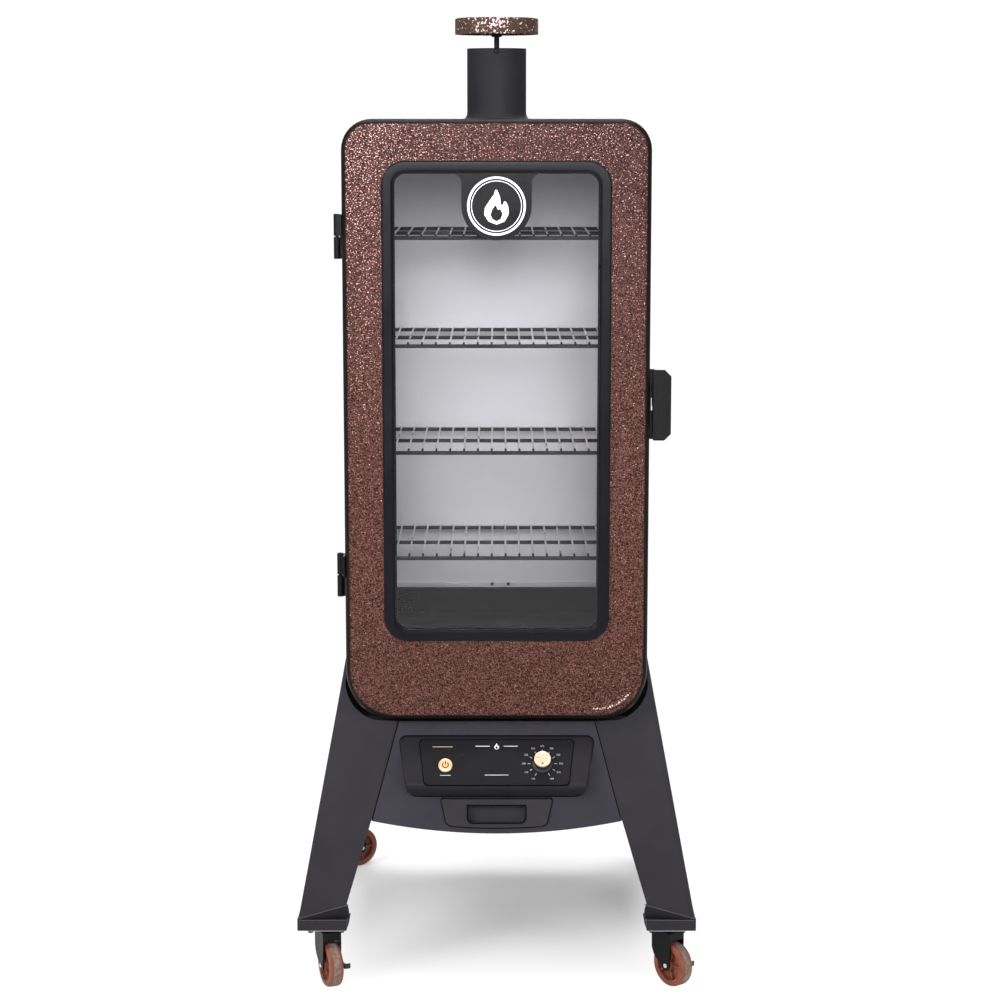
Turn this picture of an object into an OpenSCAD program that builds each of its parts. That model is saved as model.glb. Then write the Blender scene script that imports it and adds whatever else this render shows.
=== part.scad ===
// Vertical cabinet smoker on a splayed, castered stand. Front faces -Y, floor at Z = 0.

/* [Cabinet] */
// Outside width of the insulated body
body_w = 500; // [470:5:520]
// Outside height of the insulated body
body_h = 1003; // [995:1:1010]
// Outside depth of the insulated body
body_d = 424; // [410:2:440]
// Height of the body's underside above the floor
body_z = 455; // [455:1:456]
// Thickness of the insulated walls
wall = 28; // [24:1:32]
// Sheet metal thickness
sheet = 1.5; // [1:0.1:2]

/* [Door] */
// Door width
door_w = 508; // [500:2:520]
// Door height
door_h = 1003; // [990:1:1003]
// Door thickness without the window trim
door_t = 42; // [36:1:46]
// Y of the door's front face
door_front = -319; // [-319:1:-318]
// Window trim outside width
trim_w = 377; // [360:1:390]
// Window trim outside height
trim_h = 800; // [780:2:810]
// Width of the window trim's band
trim_band = 19.5; // [15:0.5:22]

/* [Racks] */
// Height of the lowest rack's cross bars
rack_z = 720; // [700:5:730]
// Distance from rack to rack
rack_pitch = 182; // [170:1:190]
// Spacing of the rack wires
wire_pitch = 23.6; // [20:0.1:24]
// How far right of centre the wires lie
wire_shift = 3.5; // [-4:0.5:4]
// Diameter of the rack wires
wire_d = 3.2; // [2.5:0.1:4]

/* [Stand] */
// Half distance between caster pivots across the stand
pivot_x = 290; // [285:1:292]
// Half distance between caster pivots front to back
pivot_y = 323.5; // [320:0.5:326]
// Lean of the stand's side panels
side_lean = 10.4; // [10:0.1:10.8]
// Lean of the stand's front and rear panels
front_lean = 14.57; // [14.4:0.01:14.8]
// Caster wheel diameter
wheel_d = 76; // [72:1:76]
// Caster wheel width
wheel_w = 24; // [20:1:24]
// Trail from swivel axis to axle
caster_trail = 18; // [12:1:20]

/* [Controls] */
// Lean of the control face from the vertical
face_lean = 36; // [30:1:40]
// Temperature knob radius
knob_r = 14; // [12:0.5:15]

/* [Stack] */
// Outside diameter of the smoke stack
stack_d = 101.6; // [95:0.1:105]
// Diameter of the stack's rain cap
cap_d = 143; // [130:1:150]
// Height of the stack's open end
stack_top = 1581.5; // [1560:0.5:1590]

/* [Hidden] */

$fn = 64;
eps = 0.01;
// Gap between pieces that move past each other, and radial play of a pin in its bore
gap = 0.3;
play = 0.05;

// Door and body planes
door_back = door_front + door_t;
body_front = door_back + 4;
body_back = body_front + body_d;
body_top = body_z + body_h;
door_z = 461;
top_r = 38;
bottom_r = 60;
door_top_r = 50;
door_bottom_r = 82;

// Cooking chamber
room_x = body_w/2 - wall;
room_z0 = body_z + wall;
room_z1 = body_top - wall;
room_back = body_back - wall;

// Window
trim_z = 597.5;
window_x = trim_w/2 - trim_band;
window_z0 = trim_z + trim_band;
window_z1 = trim_z + trim_h - trim_band - 1;
window_r = 20;
trim_proud = 4;
glass_t = 5;

// Racks and water pan
rack_x = room_x - 4;
bar_d = 6;
bar_front = body_front + 54;
bar_step = 153.5;
wire_count = 18;
rail_w = 14;
pan_z = 603;
pan_depth = 45;
pan_x = rack_x - 2;
pan_front = bar_front - 3;
pan_back = room_back - 5;

// Stack
stack_y = -69;
stack_r = stack_d/2;
flange_r = 59;
stud_r = 4.5;
cap_z = 1605;
cap_h = 29;

// Burn pot, auger and hopper
pot_y = -60;
pot_r = 50;
auger_z = room_z0 + 32;
auger_r = 25;
tube_r = 28;
tube_end = 240;
hopper_x = 240;
hopper_front = body_back + sheet;
hopper_back = 325;
hopper_top = 860;
hopper_neck = 640;
feed_x = 24;
feed_y0 = 172;
feed_y1 = 226;
lid_axis_y = hopper_back + 6;
lid_axis_z = hopper_top + 5;

// Combustion fan
fan_y = 60;
fan_size = 92;
fan_depth = 38;
fan_r = 42;
chute_y = -150;
chute_r = 18;

// Stand
floor_z = 335;
fan_z = floor_z + fan_size/2;
base_y = 276;
base_z = 462;
apron_top = 449;
tip_x = 252;
tip_z = 582;
foot_x0 = 243;
foot_x1 = 338;
foot_y0 = 277;
foot_y1 = 362;
foot_z0 = 104;
foot_z1 = 138;
leg_sheet = 2.5;
strip_t = 1.2;
arc_z = 264.5;
seam_x = 213;
seam_z = 285;
side_seam = 208;

// Control panel
bezel_top = 424;
face_bottom = 350;
chin_z = 326;
bezel_top_x = 166.5;
bezel_bottom_x = 149.5;
plate_t = 2;
button_x = -86.7;
button_z = 381;
button_r = 12;
lamp_x = -57;
lamp_z = 396.6;
dial_x = 77.5;
dial_z = 383.5;
shaft_r = 3;
knob_h = 24;

// Drawer
drawer_top = 320.5;
drawer_bottom = 273.6;
drawer_top_x = 95;
drawer_bottom_x = 82;
drawer_box_x = 77;
drawer_len = 200;

// Hinges and latch
hinge_x = -(door_w/2 + 9.5);
hinge_y = door_back - 4;
hinge_pin_r = 3;
hinge_barrel_r = 5.5;
hinge_half = 37;
hinge_mids = [703.5, 1272];
latch_x = door_w/2 + 9;
latch_pin_r = 3;
latch_y = door_front + 10;
latch_z = 995.5;
paddle_h = 118;
paddle_x = 289;

// Casters: [side, end, heading of the trail from the outward end direction towards +X]
plate_z = 101;
fork_top_z = 96.3;
axle_z = wheel_d/2;
axle_r = 4;
casters = [[-1, -1, 22], [1, -1, 39], [-1, 1, 57], [1, 1, 18]];

function front_y(z) = -(base_y + (base_z - z)*tan(front_lean));
function side_x(z) = tip_x + (tip_z - z)*tan(side_lean);
function up_front(z) = (z - base_z)/cos(front_lean);
function up_side(z) = (z - tip_z)/cos(side_lean);
function face_y(z) = front_y(bezel_top) - 1.5 - (bezel_top - z)*tan(face_lean);
function up_face(z) = (z - bezel_top)/cos(face_lean);

// ---- Placing helpers ----

// Extrudes a front-view outline from y0 back to y1
module slab(y0, y1) {
    translate([0, y1, 0]) rotate([90, 0, 0]) linear_extrude(y1 - y0) children();
}

// Front-view outline with its own top and bottom corner radii, standing on z = z0
module panel(w, z0, z1, r_top, r_bottom) {
    translate([-w/2, z0 + r_bottom]) square([w, z1 - z0 - r_top - r_bottom]);
    translate([-w/2 + r_bottom, z0]) square([w - 2*r_bottom, r_bottom + eps]);
    translate([-w/2 + r_top, z1 - r_top - eps]) square([w - 2*r_top, r_top + eps]);
    for (s = [-1, 1]) {
        translate([s*(w/2 - r_top), z1 - r_top]) circle(r_top);
        translate([s*(w/2 - r_bottom), z0 + r_bottom]) circle(r_bottom);
    }
}

module body_outline(inset = 0) {
    panel(body_w - 2*inset, body_z + inset, body_top - inset, top_r - inset, bottom_r - inset);
}

module room_outline(grow = 0) {
    panel(2*(room_x + grow), room_z0 - grow, room_z1 + grow, 10 + grow, 10 + grow);
}

module door_outline(inset = 0) {
    panel(door_w - 2*inset, door_z + inset, door_z + door_h - inset, door_top_r - inset,
        door_bottom_r - inset);
}

// Window outline, grown from the clear opening
module window_outline(grow = 0) {
    panel(2*(window_x + grow), window_z0 - grow, window_z1 + grow, window_r + grow, window_r + grow);
}

// Cylinder along Y from y0 to y1
module y_rod(x, z, r, y0, y1) {
    translate([x, y1, z]) rotate([90, 0, 0]) cylinder(r = r, h = y1 - y0);
}

// Plane of the stand's front panels: X, up the slope, outward
module on_front() {
    translate([0, -base_y, base_z]) rotate([90 - front_lean, 0, 0]) children();
}

// Plane of the stand's right panels: +Y, up the slope, outward
module on_side() {
    translate([tip_x, 0, tip_z]) rotate([0, 0, 90]) rotate([90 - side_lean, 0, 0]) children();
}

// Plane of the control face: X, up the slope, outward
module on_face() {
    translate([0, face_y(bezel_top), bezel_top]) rotate([90 - face_lean, 0, 0]) children();
}

module on_corner(c) {
    translate([c[0]*pivot_x, c[1]*pivot_y, 0]) children();
}

// Local frame of a caster: trail along +X, axle along Y
module on_caster(c) {
    on_corner(c) rotate([0, 0, c[1]*(90 - c[2])]) children();
}

// ---- Insulated cabinet ----

module service_holes() {
    translate([0, stack_y, room_z1 - 5]) cylinder(r = stack_r, h = wall + 10);
    translate([0, pot_y, body_z - 5]) cylinder(r = 22, h = wall + 10);
    translate([0, chute_y, body_z - 5]) cylinder(r = chute_r, h = wall + 10);
    y_rod(0, auger_z, tube_r, room_back - 5, body_back + 10);
}

module outer_shell() {
    color("#1c1c1f") difference() {
        union() {
            slab(body_front, body_back) difference() {
                body_outline();
                body_outline(sheet);
            }
            slab(body_front, body_front + sheet) difference() {
                body_outline();
                room_outline();
            }
        }
        service_holes();
    }
    color("#1c1c1f") translate([body_w/2, door_back + 11, latch_z - 11]) cube([6, 12, 22]);
}

module rear_panel() {
    color("#1c1c1f") difference() {
        slab(body_back, body_back + sheet) body_outline();
        service_holes();
    }
}

module inner_liner() {
    color("#b4b4b6") difference() {
        union() {
            slab(body_front + sheet, room_back) difference() {
                room_outline(sheet);
                room_outline();
            }
            slab(room_back, room_back + sheet) room_outline(sheet);
            translate([-room_x + 4, room_back - 6, pan_z + 4]) cube([2*room_x - 8, 6, 4]);
        }
        service_holes();
    }
}

module insulation() {
    color("#d9cfa8") difference() {
        slab(body_front + sheet, body_back) body_outline(sheet);
        slab(body_front, room_back + sheet) room_outline(sheet);
        service_holes();
    }
}

// One angle rail on the right wall with its shelf top at z
module rail(z) {
    translate([room_x - sheet, bar_front - 14, z - sheet]) cube([sheet, 352, 16]);
    translate([room_x - rail_w, bar_front - 14, z - sheet]) cube([rail_w, 352, sheet]);
}

module rack_rails() {
    color("#a8a8aa") for (s = [0, 1]) mirror([s, 0, 0]) {
        for (i = [0:3]) rail(rack_z + i*rack_pitch - bar_d/2 - gap);
        rail(pan_z - sheet - gap);
    }
}

module heat_deflector() {
    color("#2a2a2a") union() {
        translate([-150, pot_y - 110, room_z0 + 68]) cube([300, 220, 2]);
        for (s = [-1, 1]) translate([s*140 - 10, pot_y - 110, room_z0]) {
            cube([20, 2, 69]);
            translate([0, 218, 0]) cube([20, 2, 69]);
        }
    }
}

module burn_pot() {
    color("#4a4a4c") difference() {
        translate([0, pot_y, room_z0]) difference() {
            cylinder(r = pot_r, h = 64);
            translate([0, 0, 12]) cylinder(r = pot_r - 3, h = 60);
            for (i = [0:5]) rotate([0, 0, 30 + 60*i]) translate([30, 0, -1]) cylinder(r = 3.5, h = 20);
            translate([0, 0, -1]) cylinder(r = 8, h = 20);
        }
        y_rod(0, auger_z, tube_r, pot_y, pot_y + pot_r + 5);
        translate([pot_r - 10, pot_y, room_z0 + 20]) rotate([0, 90, 0]) cylinder(r = 5, h = 20);
    }
}

module igniter_rod() {
    color("#8a8a8c") translate([pot_r - 18, pot_y, room_z0 + 20]) rotate([0, 90, 0]) union() {
        cylinder(r = 5, h = 80);
        translate([0, 0, 72]) cylinder(r = 9, h = 14);
    }
}

module temperature_probe() {
    color("#c8c8ca") translate([room_x, 20, 1010]) rotate([0, -90, 0]) union() {
        cylinder(r = 2.5, h = 15);
        cylinder(r = 9, h = 3);
    }
}

// ---- Pellet feed ----

module auger_tube() {
    color("#77777a") difference() {
        y_rod(0, auger_z, tube_r, pot_y + pot_r - 4, tube_end);
        y_rod(0, auger_z, auger_r + 1.2, pot_y, tube_end + 5);
        translate([-feed_x + 3, feed_y0, auger_z]) cube([2*feed_x - 6, feed_y1 - feed_y0, tube_r + 5]);
    }
}

module auger_screw() {
    color("#8a8a8c") union() {
        y_rod(0, auger_z, 7, pot_y + pot_r - 2, tube_end - 0.5);
        translate([0, tube_end - 4, auger_z]) rotate([90, 0, 0])
            linear_extrude(tube_end - pot_y - pot_r - 4, twist = 1670, slices = 120, segments = 4, $fn = 12)
            translate([0, -1.5]) square([auger_r, 3]);
    }
}

module auger_motor() {
    color("#5c5c60") union() {
        translate([-35, tube_end, auger_z - 30]) cube([70, 30, 60]);
        y_rod(0, auger_z, 26, tube_end + 30 - eps, tube_end + 68);
        y_rod(18, auger_z + 10, 4, tube_end + 68 - eps, tube_end + 72);
    }
}

module hopper_trunk(drop = 0) {
    translate([0, 0, -drop]) intersection() {
        translate([0, hopper_back, 0]) rotate([90, 0, 0]) linear_extrude(hopper_back - hopper_front)
            polygon([[-hopper_x + 1, hopper_neck], [hopper_x - 1, hopper_neck],
                [feed_x, auger_z + tube_r], [-feed_x, auger_z + tube_r]]);
        translate([-hopper_x, 0, 0]) rotate([90, 0, 90]) linear_extrude(2*hopper_x)
            polygon([[hopper_front + 1, hopper_neck], [hopper_back - 1, hopper_neck],
                [feed_y1, auger_z + tube_r], [feed_y0, auger_z + tube_r]]);
    }
}

module pellet_hopper() {
    color("#1f1f22") union() {
        difference() {
            translate([-hopper_x, hopper_front, body_z])
                cube([2*hopper_x, hopper_back - hopper_front, hopper_top - body_z]);
            translate([-hopper_x + sheet, hopper_front + sheet, body_z + sheet])
                cube([2*(hopper_x - sheet), hopper_back - hopper_front - 2*sheet, hopper_top]);
            y_rod(0, auger_z, tube_r, hopper_front - 5, hopper_front + 5);
        }
        difference() {
            hopper_trunk(2.5);
            hopper_trunk();
            translate([-feed_x + 3, feed_y0, auger_z]) cube([2*feed_x - 6, feed_y1 - feed_y0, 60]);
            y_rod(0, auger_z, tube_r, hopper_front, tube_end);
        }
        for (s = [-1, 1]) translate([s*150 - 20, hopper_back - eps, lid_axis_z - 14]) difference() {
            union() {
                cube([40, 3, 14]);
                translate([0, lid_axis_y - hopper_back, 14]) rotate([0, 90, 0]) cylinder(r = 5, h = 40);
            }
            translate([12 - gap, -1, 0]) cube([16 + 2*gap, 20, 25]);
        }
        for (s = [-1, 1]) translate([s*150 - 19, lid_axis_y, lid_axis_z]) rotate([0, 90, 0])
            cylinder(r = 2.5, h = 38);
    }
}

module hopper_lid() {
    skirt_x = hopper_x + 2;
    lid_y = hopper_front + 1;
    color("#232326") difference() {
        union() {
            translate([-skirt_x - sheet, lid_y, hopper_top + gap])
                cube([2*(skirt_x + sheet), hopper_back - lid_y - 1, 2.7]);
            for (s = [0, 1]) mirror([s, 0, 0])
                translate([skirt_x, lid_y + 6, hopper_top - 12]) cube([sheet, 155, 13]);
            for (s = [-1, 1]) translate([s*150 - 8, lid_axis_y, lid_axis_z]) {
                rotate([0, 90, 0]) cylinder(r = 5, h = 16);
                translate([0, -14, -4.5]) cube([16, 14, 2.4]);
            }
            translate([-40, lid_y + 12, hopper_top + 3 - eps]) cube([80, 12, 15]);
        }
        translate([-34, lid_y + 11, hopper_top + 3]) cube([68, 14, 10]);
        translate([-hopper_x, lid_axis_y, lid_axis_z]) rotate([0, 90, 0])
            cylinder(r = 2.5 + play, h = 2*hopper_x);
    }
}

// ---- Combustion air ----

module fan_housing() {
    color("#3a3a3d") union() {
        difference() {
            translate([-fan_size/2, fan_y, fan_z - fan_size/2]) cube([fan_size, fan_depth, fan_size]);
            y_rod(0, fan_z, fan_r, fan_y - 1, fan_y + fan_depth + 1);
        }
        y_rod(0, fan_z, 19, fan_y + 20, fan_y + fan_depth);
        y_rod(0, fan_z, 3, fan_y + 4, fan_y + 21);
        for (i = [0:2]) translate([0, fan_y + 34, fan_z]) rotate([0, 120*i, 0])
            translate([-2, 0, 17]) cube([4, 3, fan_r - 16]);
        difference() {
            translate([-40, pot_y - 25, fan_z - 40]) cube([80, fan_y - pot_y + 25, 80]);
            translate([-38.5, pot_y - 23.5, fan_z - 38.5]) cube([77, fan_y - pot_y + 30, 77]);
            translate([0, pot_y, fan_z]) cylinder(r = 20.5, h = 60);
        }
        translate([0, pot_y, fan_z + 39]) difference() {
            cylinder(r = 22, h = room_z0 - fan_z - 39);
            translate([0, 0, -1]) cylinder(r = 20.5, h = 60);
        }
    }
}

module fan_impeller() {
    color("#202022") difference() {
        union() {
            y_rod(0, fan_z, 16, fan_y + 3, fan_y + 19);
            for (i = [0:6]) translate([0, fan_y + 11, fan_z]) rotate([0, i*360/7, 0])
                translate([0, 0, 14]) rotate([0, 0, 32]) translate([-8, -1, 0]) cube([16, 2, 24]);
        }
        y_rod(0, fan_z, 3 + play, fan_y, fan_y + 20);
    }
}

// ---- Stand ----

// Room kept clear for the body, in front of it too
module body_block(grow) {
    slab(body_front - 30, body_back) body_outline(-grow);
}

// Outline of the front-right leg's front face, in slope coordinates
module leg_front_outline(top) {
    polygon([[side_x(top), up_front(top)], [side_x(foot_z1 - 6), up_front(foot_z1 - 6)],
        [254, up_front(foot_z1 - 6)], [254, up_front(150)], [seam_x, up_front(seam_z)],
        [168.5, up_front(apron_top)], [180, up_front(min(top, base_z + 4))]]);
}

// Outline of the right leg's side face, in slope coordinates, with its front edge at -Y
module leg_side_outline(top) {
    elbow = min(top, base_z);
    polygon([[min(front_y(elbow) + 3.5, front_y(top)), up_side(top)], [front_y(elbow), up_side(elbow)],
        [front_y(foot_z1 - 6), up_side(foot_z1 - 6)], [-foot_y0, up_side(foot_z1 - 6)],
        [-foot_y0, up_side(150)], [-side_seam, up_side(seam_z)], [-170, up_side(apron_top)],
        [-170, up_side(top)]]);
}

// One folded sheet leg with its foot box, for the front right corner
module leg(top) {
    difference() {
        union() {
            on_front() translate([0, 0, -leg_sheet]) linear_extrude(leg_sheet) leg_front_outline(top);
            on_side() translate([0, 0, -leg_sheet]) linear_extrude(leg_sheet) leg_side_outline(top);
        }
        body_block(0.5);
        translate([body_w/2, door_back - 19, door_z]) cube([60, 19.7, 200]);
    }
    difference() {
        translate([foot_x0, -foot_y1, foot_z0])
            cube([foot_x1 - foot_x0, foot_y1 - foot_y0, foot_z1 - foot_z0]);
        translate([foot_x0 + leg_sheet, -foot_y1 + leg_sheet, foot_z0 + leg_sheet])
            cube([foot_x1 - foot_x0 - 2*leg_sheet, foot_y1 - foot_y0 - 2*leg_sheet, 60]);
    }
}

module legs() {
    color("#46444c") for (s = [0, 1]) mirror([s, 0, 0]) {
        leg(tip_z - 7);
        mirror([0, 1, 0]) leg(apron_top);
    }
}

// Front or rear apron with its curved lower edge, in slope coordinates
module apron_outline(half_top, half_seam, top, grow_r) {
    intersection() {
        polygon([[-half_top, up_front(top)], [half_top, up_front(top)],
            [half_seam, up_front(seam_z)], [half_seam + 2, up_front(arc_z) - 5],
            [-half_seam - 2, up_front(arc_z) - 5], [-half_seam, up_front(seam_z)]]);
        translate([0, up_front(arc_z) + grow_r]) circle(grow_r, $fn = 360);
    }
}

module side_apron() {
    rise = up_side(seam_z) - up_side(arc_z);
    arc_r = (side_seam*side_seam + rise*rise)/(2*rise);
    on_side() translate([0, 0, -leg_sheet]) linear_extrude(leg_sheet) intersection() {
        polygon([[-169.5, up_side(tip_z - 7)], [150, up_side(tip_z - 7)], [169.5, up_side(apron_top)],
            [side_seam - 0.5, up_side(seam_z)], [side_seam + 1, up_side(arc_z) - 5],
            [-side_seam - 1, up_side(arc_z) - 5], [-side_seam + 0.5, up_side(seam_z)],
            [-169.5, up_side(apron_top)]]);
        translate([0, up_side(arc_z) + arc_r]) circle(arc_r, $fn = 360);
    }
}

// Strip behind the seam between an apron and a leg, on the right of a slope
module seam_strip(top_x, low_x, up_top, up_low) {
    translate([0, 0, -leg_sheet - strip_t]) linear_extrude(strip_t)
        polygon([[top_x - 7, up_top], [top_x + 7, up_top], [low_x + 7, up_low], [low_x - 7, up_low]]);
}

module aprons() {
    rise = up_front(seam_z) - up_front(arc_z);
    arc_r = (seam_x*seam_x + rise*rise)/(2*rise);
    color("#46444c") union() {
        difference() {
            on_front() translate([0, 0, -leg_sheet]) linear_extrude(leg_sheet)
                apron_outline(168, seam_x - 0.5, apron_top, arc_r);
            translate([-drawer_box_x - 1.5, -400, drawer_bottom + 2.5])
                cube([2*drawer_box_x + 3, 200, drawer_top - drawer_bottom - 4]);
            translate([-118, -400, 338]) cube([236, 200, 76]);
        }
        mirror([0, 1, 0]) difference() {
            on_front() translate([0, 0, -leg_sheet]) linear_extrude(leg_sheet)
                apron_outline(168, seam_x - 0.5, apron_top, arc_r);
            on_front() translate([-150, up_front(390), -5]) cube([48, 28, 10]);
        }
        side_apron();
        mirror([1, 0, 0]) side_apron();
        for (s = [0, 1]) for (e = [0, 1]) mirror([s, 0, 0]) mirror([0, e, 0]) {
            on_front() seam_strip(168.5, seam_x, up_front(apron_top - 2), up_front(seam_z + 2));
            on_side() mirror([1, 0, 0])
                seam_strip(169.5, side_seam, up_side(apron_top - 2), up_side(seam_z + 2));
        }
    }
}

module base_deck() {
    deck_x = side_x(body_z) - leg_sheet - 0.5;
    color("#2b2a2e") difference() {
        translate([-deck_x, -base_y + 5, apron_top]) cube([2*deck_x, 2*base_y - 10, body_z - apron_top]);
        translate([-deck_x + 8, -base_y + 13, apron_top - 1])
            cube([2*deck_x - 16, 2*base_y - 26, body_z - apron_top - sheet + 1]);
        service_holes();
    }
}

module base_floor() {
    x = side_x(floor_z) - leg_sheet - strip_t - gap;
    y = -front_y(floor_z) - leg_sheet - strip_t - gap;
    color("#2b2a2e") union() {
        difference() {
            translate([-x, -y, floor_z - 2]) cube([2*x, 2*y, 2]);
            translate([0, chute_y, floor_z - 5]) cylinder(r = chute_r - sheet, h = 10);
        }
        translate([0, chute_y, floor_z - 2]) difference() {
            cylinder(r = chute_r, h = room_z0 - floor_z + 2);
            translate([0, 0, -1]) cylinder(r = chute_r - sheet, h = 200);
        }
        for (s = [0, 1]) mirror([s, 0, 0]) {
            translate([drawer_box_x + 1, -295, drawer_bottom + 1])
                cube([2, 200, floor_z - drawer_bottom - 2]);
            translate([drawer_box_x - 4, -295, drawer_bottom + 1]) cube([6, 200, 2]);
        }
    }
}

// ---- Controls ----

module bezel_mask(inset = 0) {
    c = 10;
    slab(-420, -200) polygon([[-bezel_top_x + inset, bezel_top - c], [-bezel_top_x + c, bezel_top - inset],
        [bezel_top_x - c, bezel_top - inset], [bezel_top_x - inset, bezel_top - c],
        [bezel_bottom_x - inset, chin_z + 2*c], [bezel_bottom_x - 2*c, chin_z + inset],
        [-bezel_bottom_x + 2*c, chin_z + inset], [-bezel_bottom_x + inset, chin_z + 2*c]]);
}

module bezel_wedge(inset = 0) {
    translate([-200, 0, 0]) rotate([90, 0, 90]) linear_extrude(400)
        polygon([[front_y(bezel_top), bezel_top], [face_y(bezel_top) + inset, bezel_top],
            [face_y(face_bottom) + inset, face_bottom], [front_y(chin_z) - 3 + inset, chin_z],
            [front_y(chin_z), chin_z]]);
}

module control_bezel() {
    color("#232327") difference() {
        intersection() {
            bezel_mask();
            bezel_wedge();
        }
        intersection() {
            bezel_mask(3);
            translate([0, 3.5, 0]) bezel_wedge();
        }
        on_face() translate([-115, up_face(face_bottom) + 8, -10]) cube([230, 74, 20]);
    }
}

module faceplate() {
    color("#141416") difference() {
        on_face() linear_extrude(plate_t) polygon([[-131.5, -6.7], [131.5, -6.7],
            [121.5, up_face(353)], [-121.5, up_face(353)]]);
        on_face() translate([button_x, up_face(button_z), -5]) cylinder(r = button_r + gap, h = 12);
        on_face() translate([lamp_x, up_face(lamp_z), -5]) cylinder(r = 2, h = 12);
        on_face() translate([dial_x, up_face(dial_z), -5]) cylinder(r = shaft_r + 1, h = 12);
    }
}

module status_lamp() {
    color("#c04030") on_face() translate([lamp_x, up_face(lamp_z), -9]) union() {
        cylinder(r = 2, h = 10.5);
        cylinder(r = 3, h = 3);
    }
}

module control_board() {
    color("#1d5a37") on_face() union() {
        translate([-108, up_face(face_bottom) + 12, -24]) cube([216, 66, 1.6]);
        translate([button_x, up_face(button_z), -22.5]) cylinder(r = 8, h = 9);
        translate([dial_x, up_face(dial_z), -22.5]) cylinder(r = 9, h = 12);
        translate([dial_x, up_face(dial_z), -12]) cylinder(r = shaft_r, h = 12 + plate_t + 16);
        translate([-20, -50, -22.5]) cube([28, 16, 14]);
        translate([20, -50, -22.5]) cube([16, 16, 12]);
        translate([lamp_x, up_face(lamp_z), -22.5]) cylinder(r = 1, h = 13.5);
    }
}

module power_button() {
    color("#d9a06a") on_face() translate([button_x, up_face(button_z), -8]) union() {
        cylinder(r = button_r, h = 8 + plate_t + 2.5);
        cylinder(r = button_r + 2, h = 3);
    }
}

module temperature_knob() {
    color("#e0b48a") on_face() translate([dial_x, up_face(dial_z), plate_t + gap]) difference() {
        union() {
            cylinder(r = knob_r + 3, h = 4);
            cylinder(r = knob_r, h = knob_h);
        }
        translate([0, 0, -1]) cylinder(r = shaft_r + play, h = 18);
    }
}

module power_inlet() {
    color("#151515") mirror([0, 1, 0]) on_front() translate([-150, up_front(390), 0]) difference() {
        union() {
            translate([-4, -4, 0]) cube([56, 36, 2.5]);
            translate([0.5, 0.5, -24]) cube([47, 27, 25]);
        }
        translate([11, 5, -18]) cube([26, 18, 25]);
        for (i = [-1:1]) translate([24 + 8*i, 14 + (i == 0 ? 3 : -1), -21]) cylinder(r = 1.2, h = 5);
    }
}

// ---- Stack ----

module stack_pipe() {
    color("#202023") translate([0, stack_y, 0]) difference() {
        union() {
            translate([0, 0, room_z1]) cylinder(r = stack_r, h = stack_top - room_z1, $fn = 96);
            translate([0, 0, body_top]) cylinder(r = flange_r, h = 3, $fn = 96);
        }
        translate([0, 0, room_z1 - 1]) cylinder(r = stack_r - sheet, h = 400, $fn = 96);
    }
}

module stack_bracket() {
    color("#2a2a2c") translate([0, stack_y, stack_top]) union() {
        translate([0, 0, -18]) intersection() {
            cylinder(r = stack_r - sheet, h = 14, $fn = 96);
            union() {
                translate([-stack_r, -8, 6]) cube([2*stack_r, 16, 3]);
                for (s = [0, 1]) mirror([s, 0, 0]) translate([stack_r - sheet - 3, -8, 0]) cube([4, 16, 14]);
            }
        }
        translate([0, 0, -22]) cylinder(r = 8, h = 11);
        translate([0, 0, -24]) cylinder(r = stud_r, h = cap_z - stack_top + 40);
    }
}

module cap_nut() {
    color("#6a6a6c") translate([0, stack_y, cap_z - 4]) difference() {
        cylinder(r = 9, h = 7.7);
        translate([0, 0, -1]) cylinder(r = stud_r + play, h = 20);
    }
}

module stack_cap() {
    color("#7c4a3a") translate([0, stack_y, cap_z]) difference() {
        union() {
            difference() {
                cylinder(r = cap_d/2, h = cap_h, $fn = 96);
                translate([0, 0, -1]) cylinder(r = cap_d/2 - 2, h = cap_h - 1.5, $fn = 96);
            }
            translate([0, 0, 4]) cylinder(r = 9, h = cap_h - 4);
        }
        translate([0, 0, -1]) cylinder(r = stud_r + play, h = 24);
    }
}

// ---- Door ----

module door_skin() {
    color("#7c4a3a") difference() {
        slab(door_front, door_back - sheet) door_outline();
        slab(door_front + sheet, door_back) door_outline(sheet);
        slab(door_front - 5, door_front + 10) window_outline(11);
    }
}

module door_liner() {
    color("#a9a9ab") union() {
        slab(door_back - sheet, door_back) difference() {
            door_outline();
            window_outline(14);
        }
        slab(door_front + sheet, door_back - sheet + eps) difference() {
            window_outline(15.5);
            window_outline(14);
        }
    }
}

module door_insulation() {
    color("#d9cfa8") slab(door_front + sheet, door_back - sheet) difference() {
        door_outline(sheet);
        window_outline(15.5);
    }
}

module window_glass() {
    color("#30383c", 0.35) slab(door_front + 3, door_front + 3 + glass_t) window_outline(10);
}

module window_trim() {
    color("#1b1b1d") union() {
        slab(door_front - trim_proud, door_front) difference() {
            window_outline(trim_band);
            window_outline();
        }
        slab(door_front - eps, door_front + 3) difference() {
            window_outline(10);
            window_outline();
        }
    }
}

module glass_retainer() {
    color("#8c8c8e") slab(door_front + 3 + glass_t, door_front + 12) difference() {
        window_outline(14);
        window_outline(-2);
    }
}

module door_gasket() {
    color("#4a4742") slab(door_back, body_front - gap) difference() {
        room_outline(16);
        room_outline(5);
    }
}

// ---- Hinges and latch ----

// Fixed halves, with the pins that the door turns on
module hinge_brackets() {
    color("#151517") for (m = hinge_mids) translate([hinge_x, hinge_y, m - hinge_half]) union() {
        cylinder(r = hinge_barrel_r, h = hinge_half - 1);
        cylinder(r = hinge_pin_r, h = 2*hinge_half - 2);
        translate([0.5, 0, 0]) cube([8.5, 19, hinge_half - 1]);
        translate([8, body_front - hinge_y + 0.5, 0])
            cube([-body_w/2 - hinge_x - 8, 37, hinge_half - 1]);
    }
}

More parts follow.
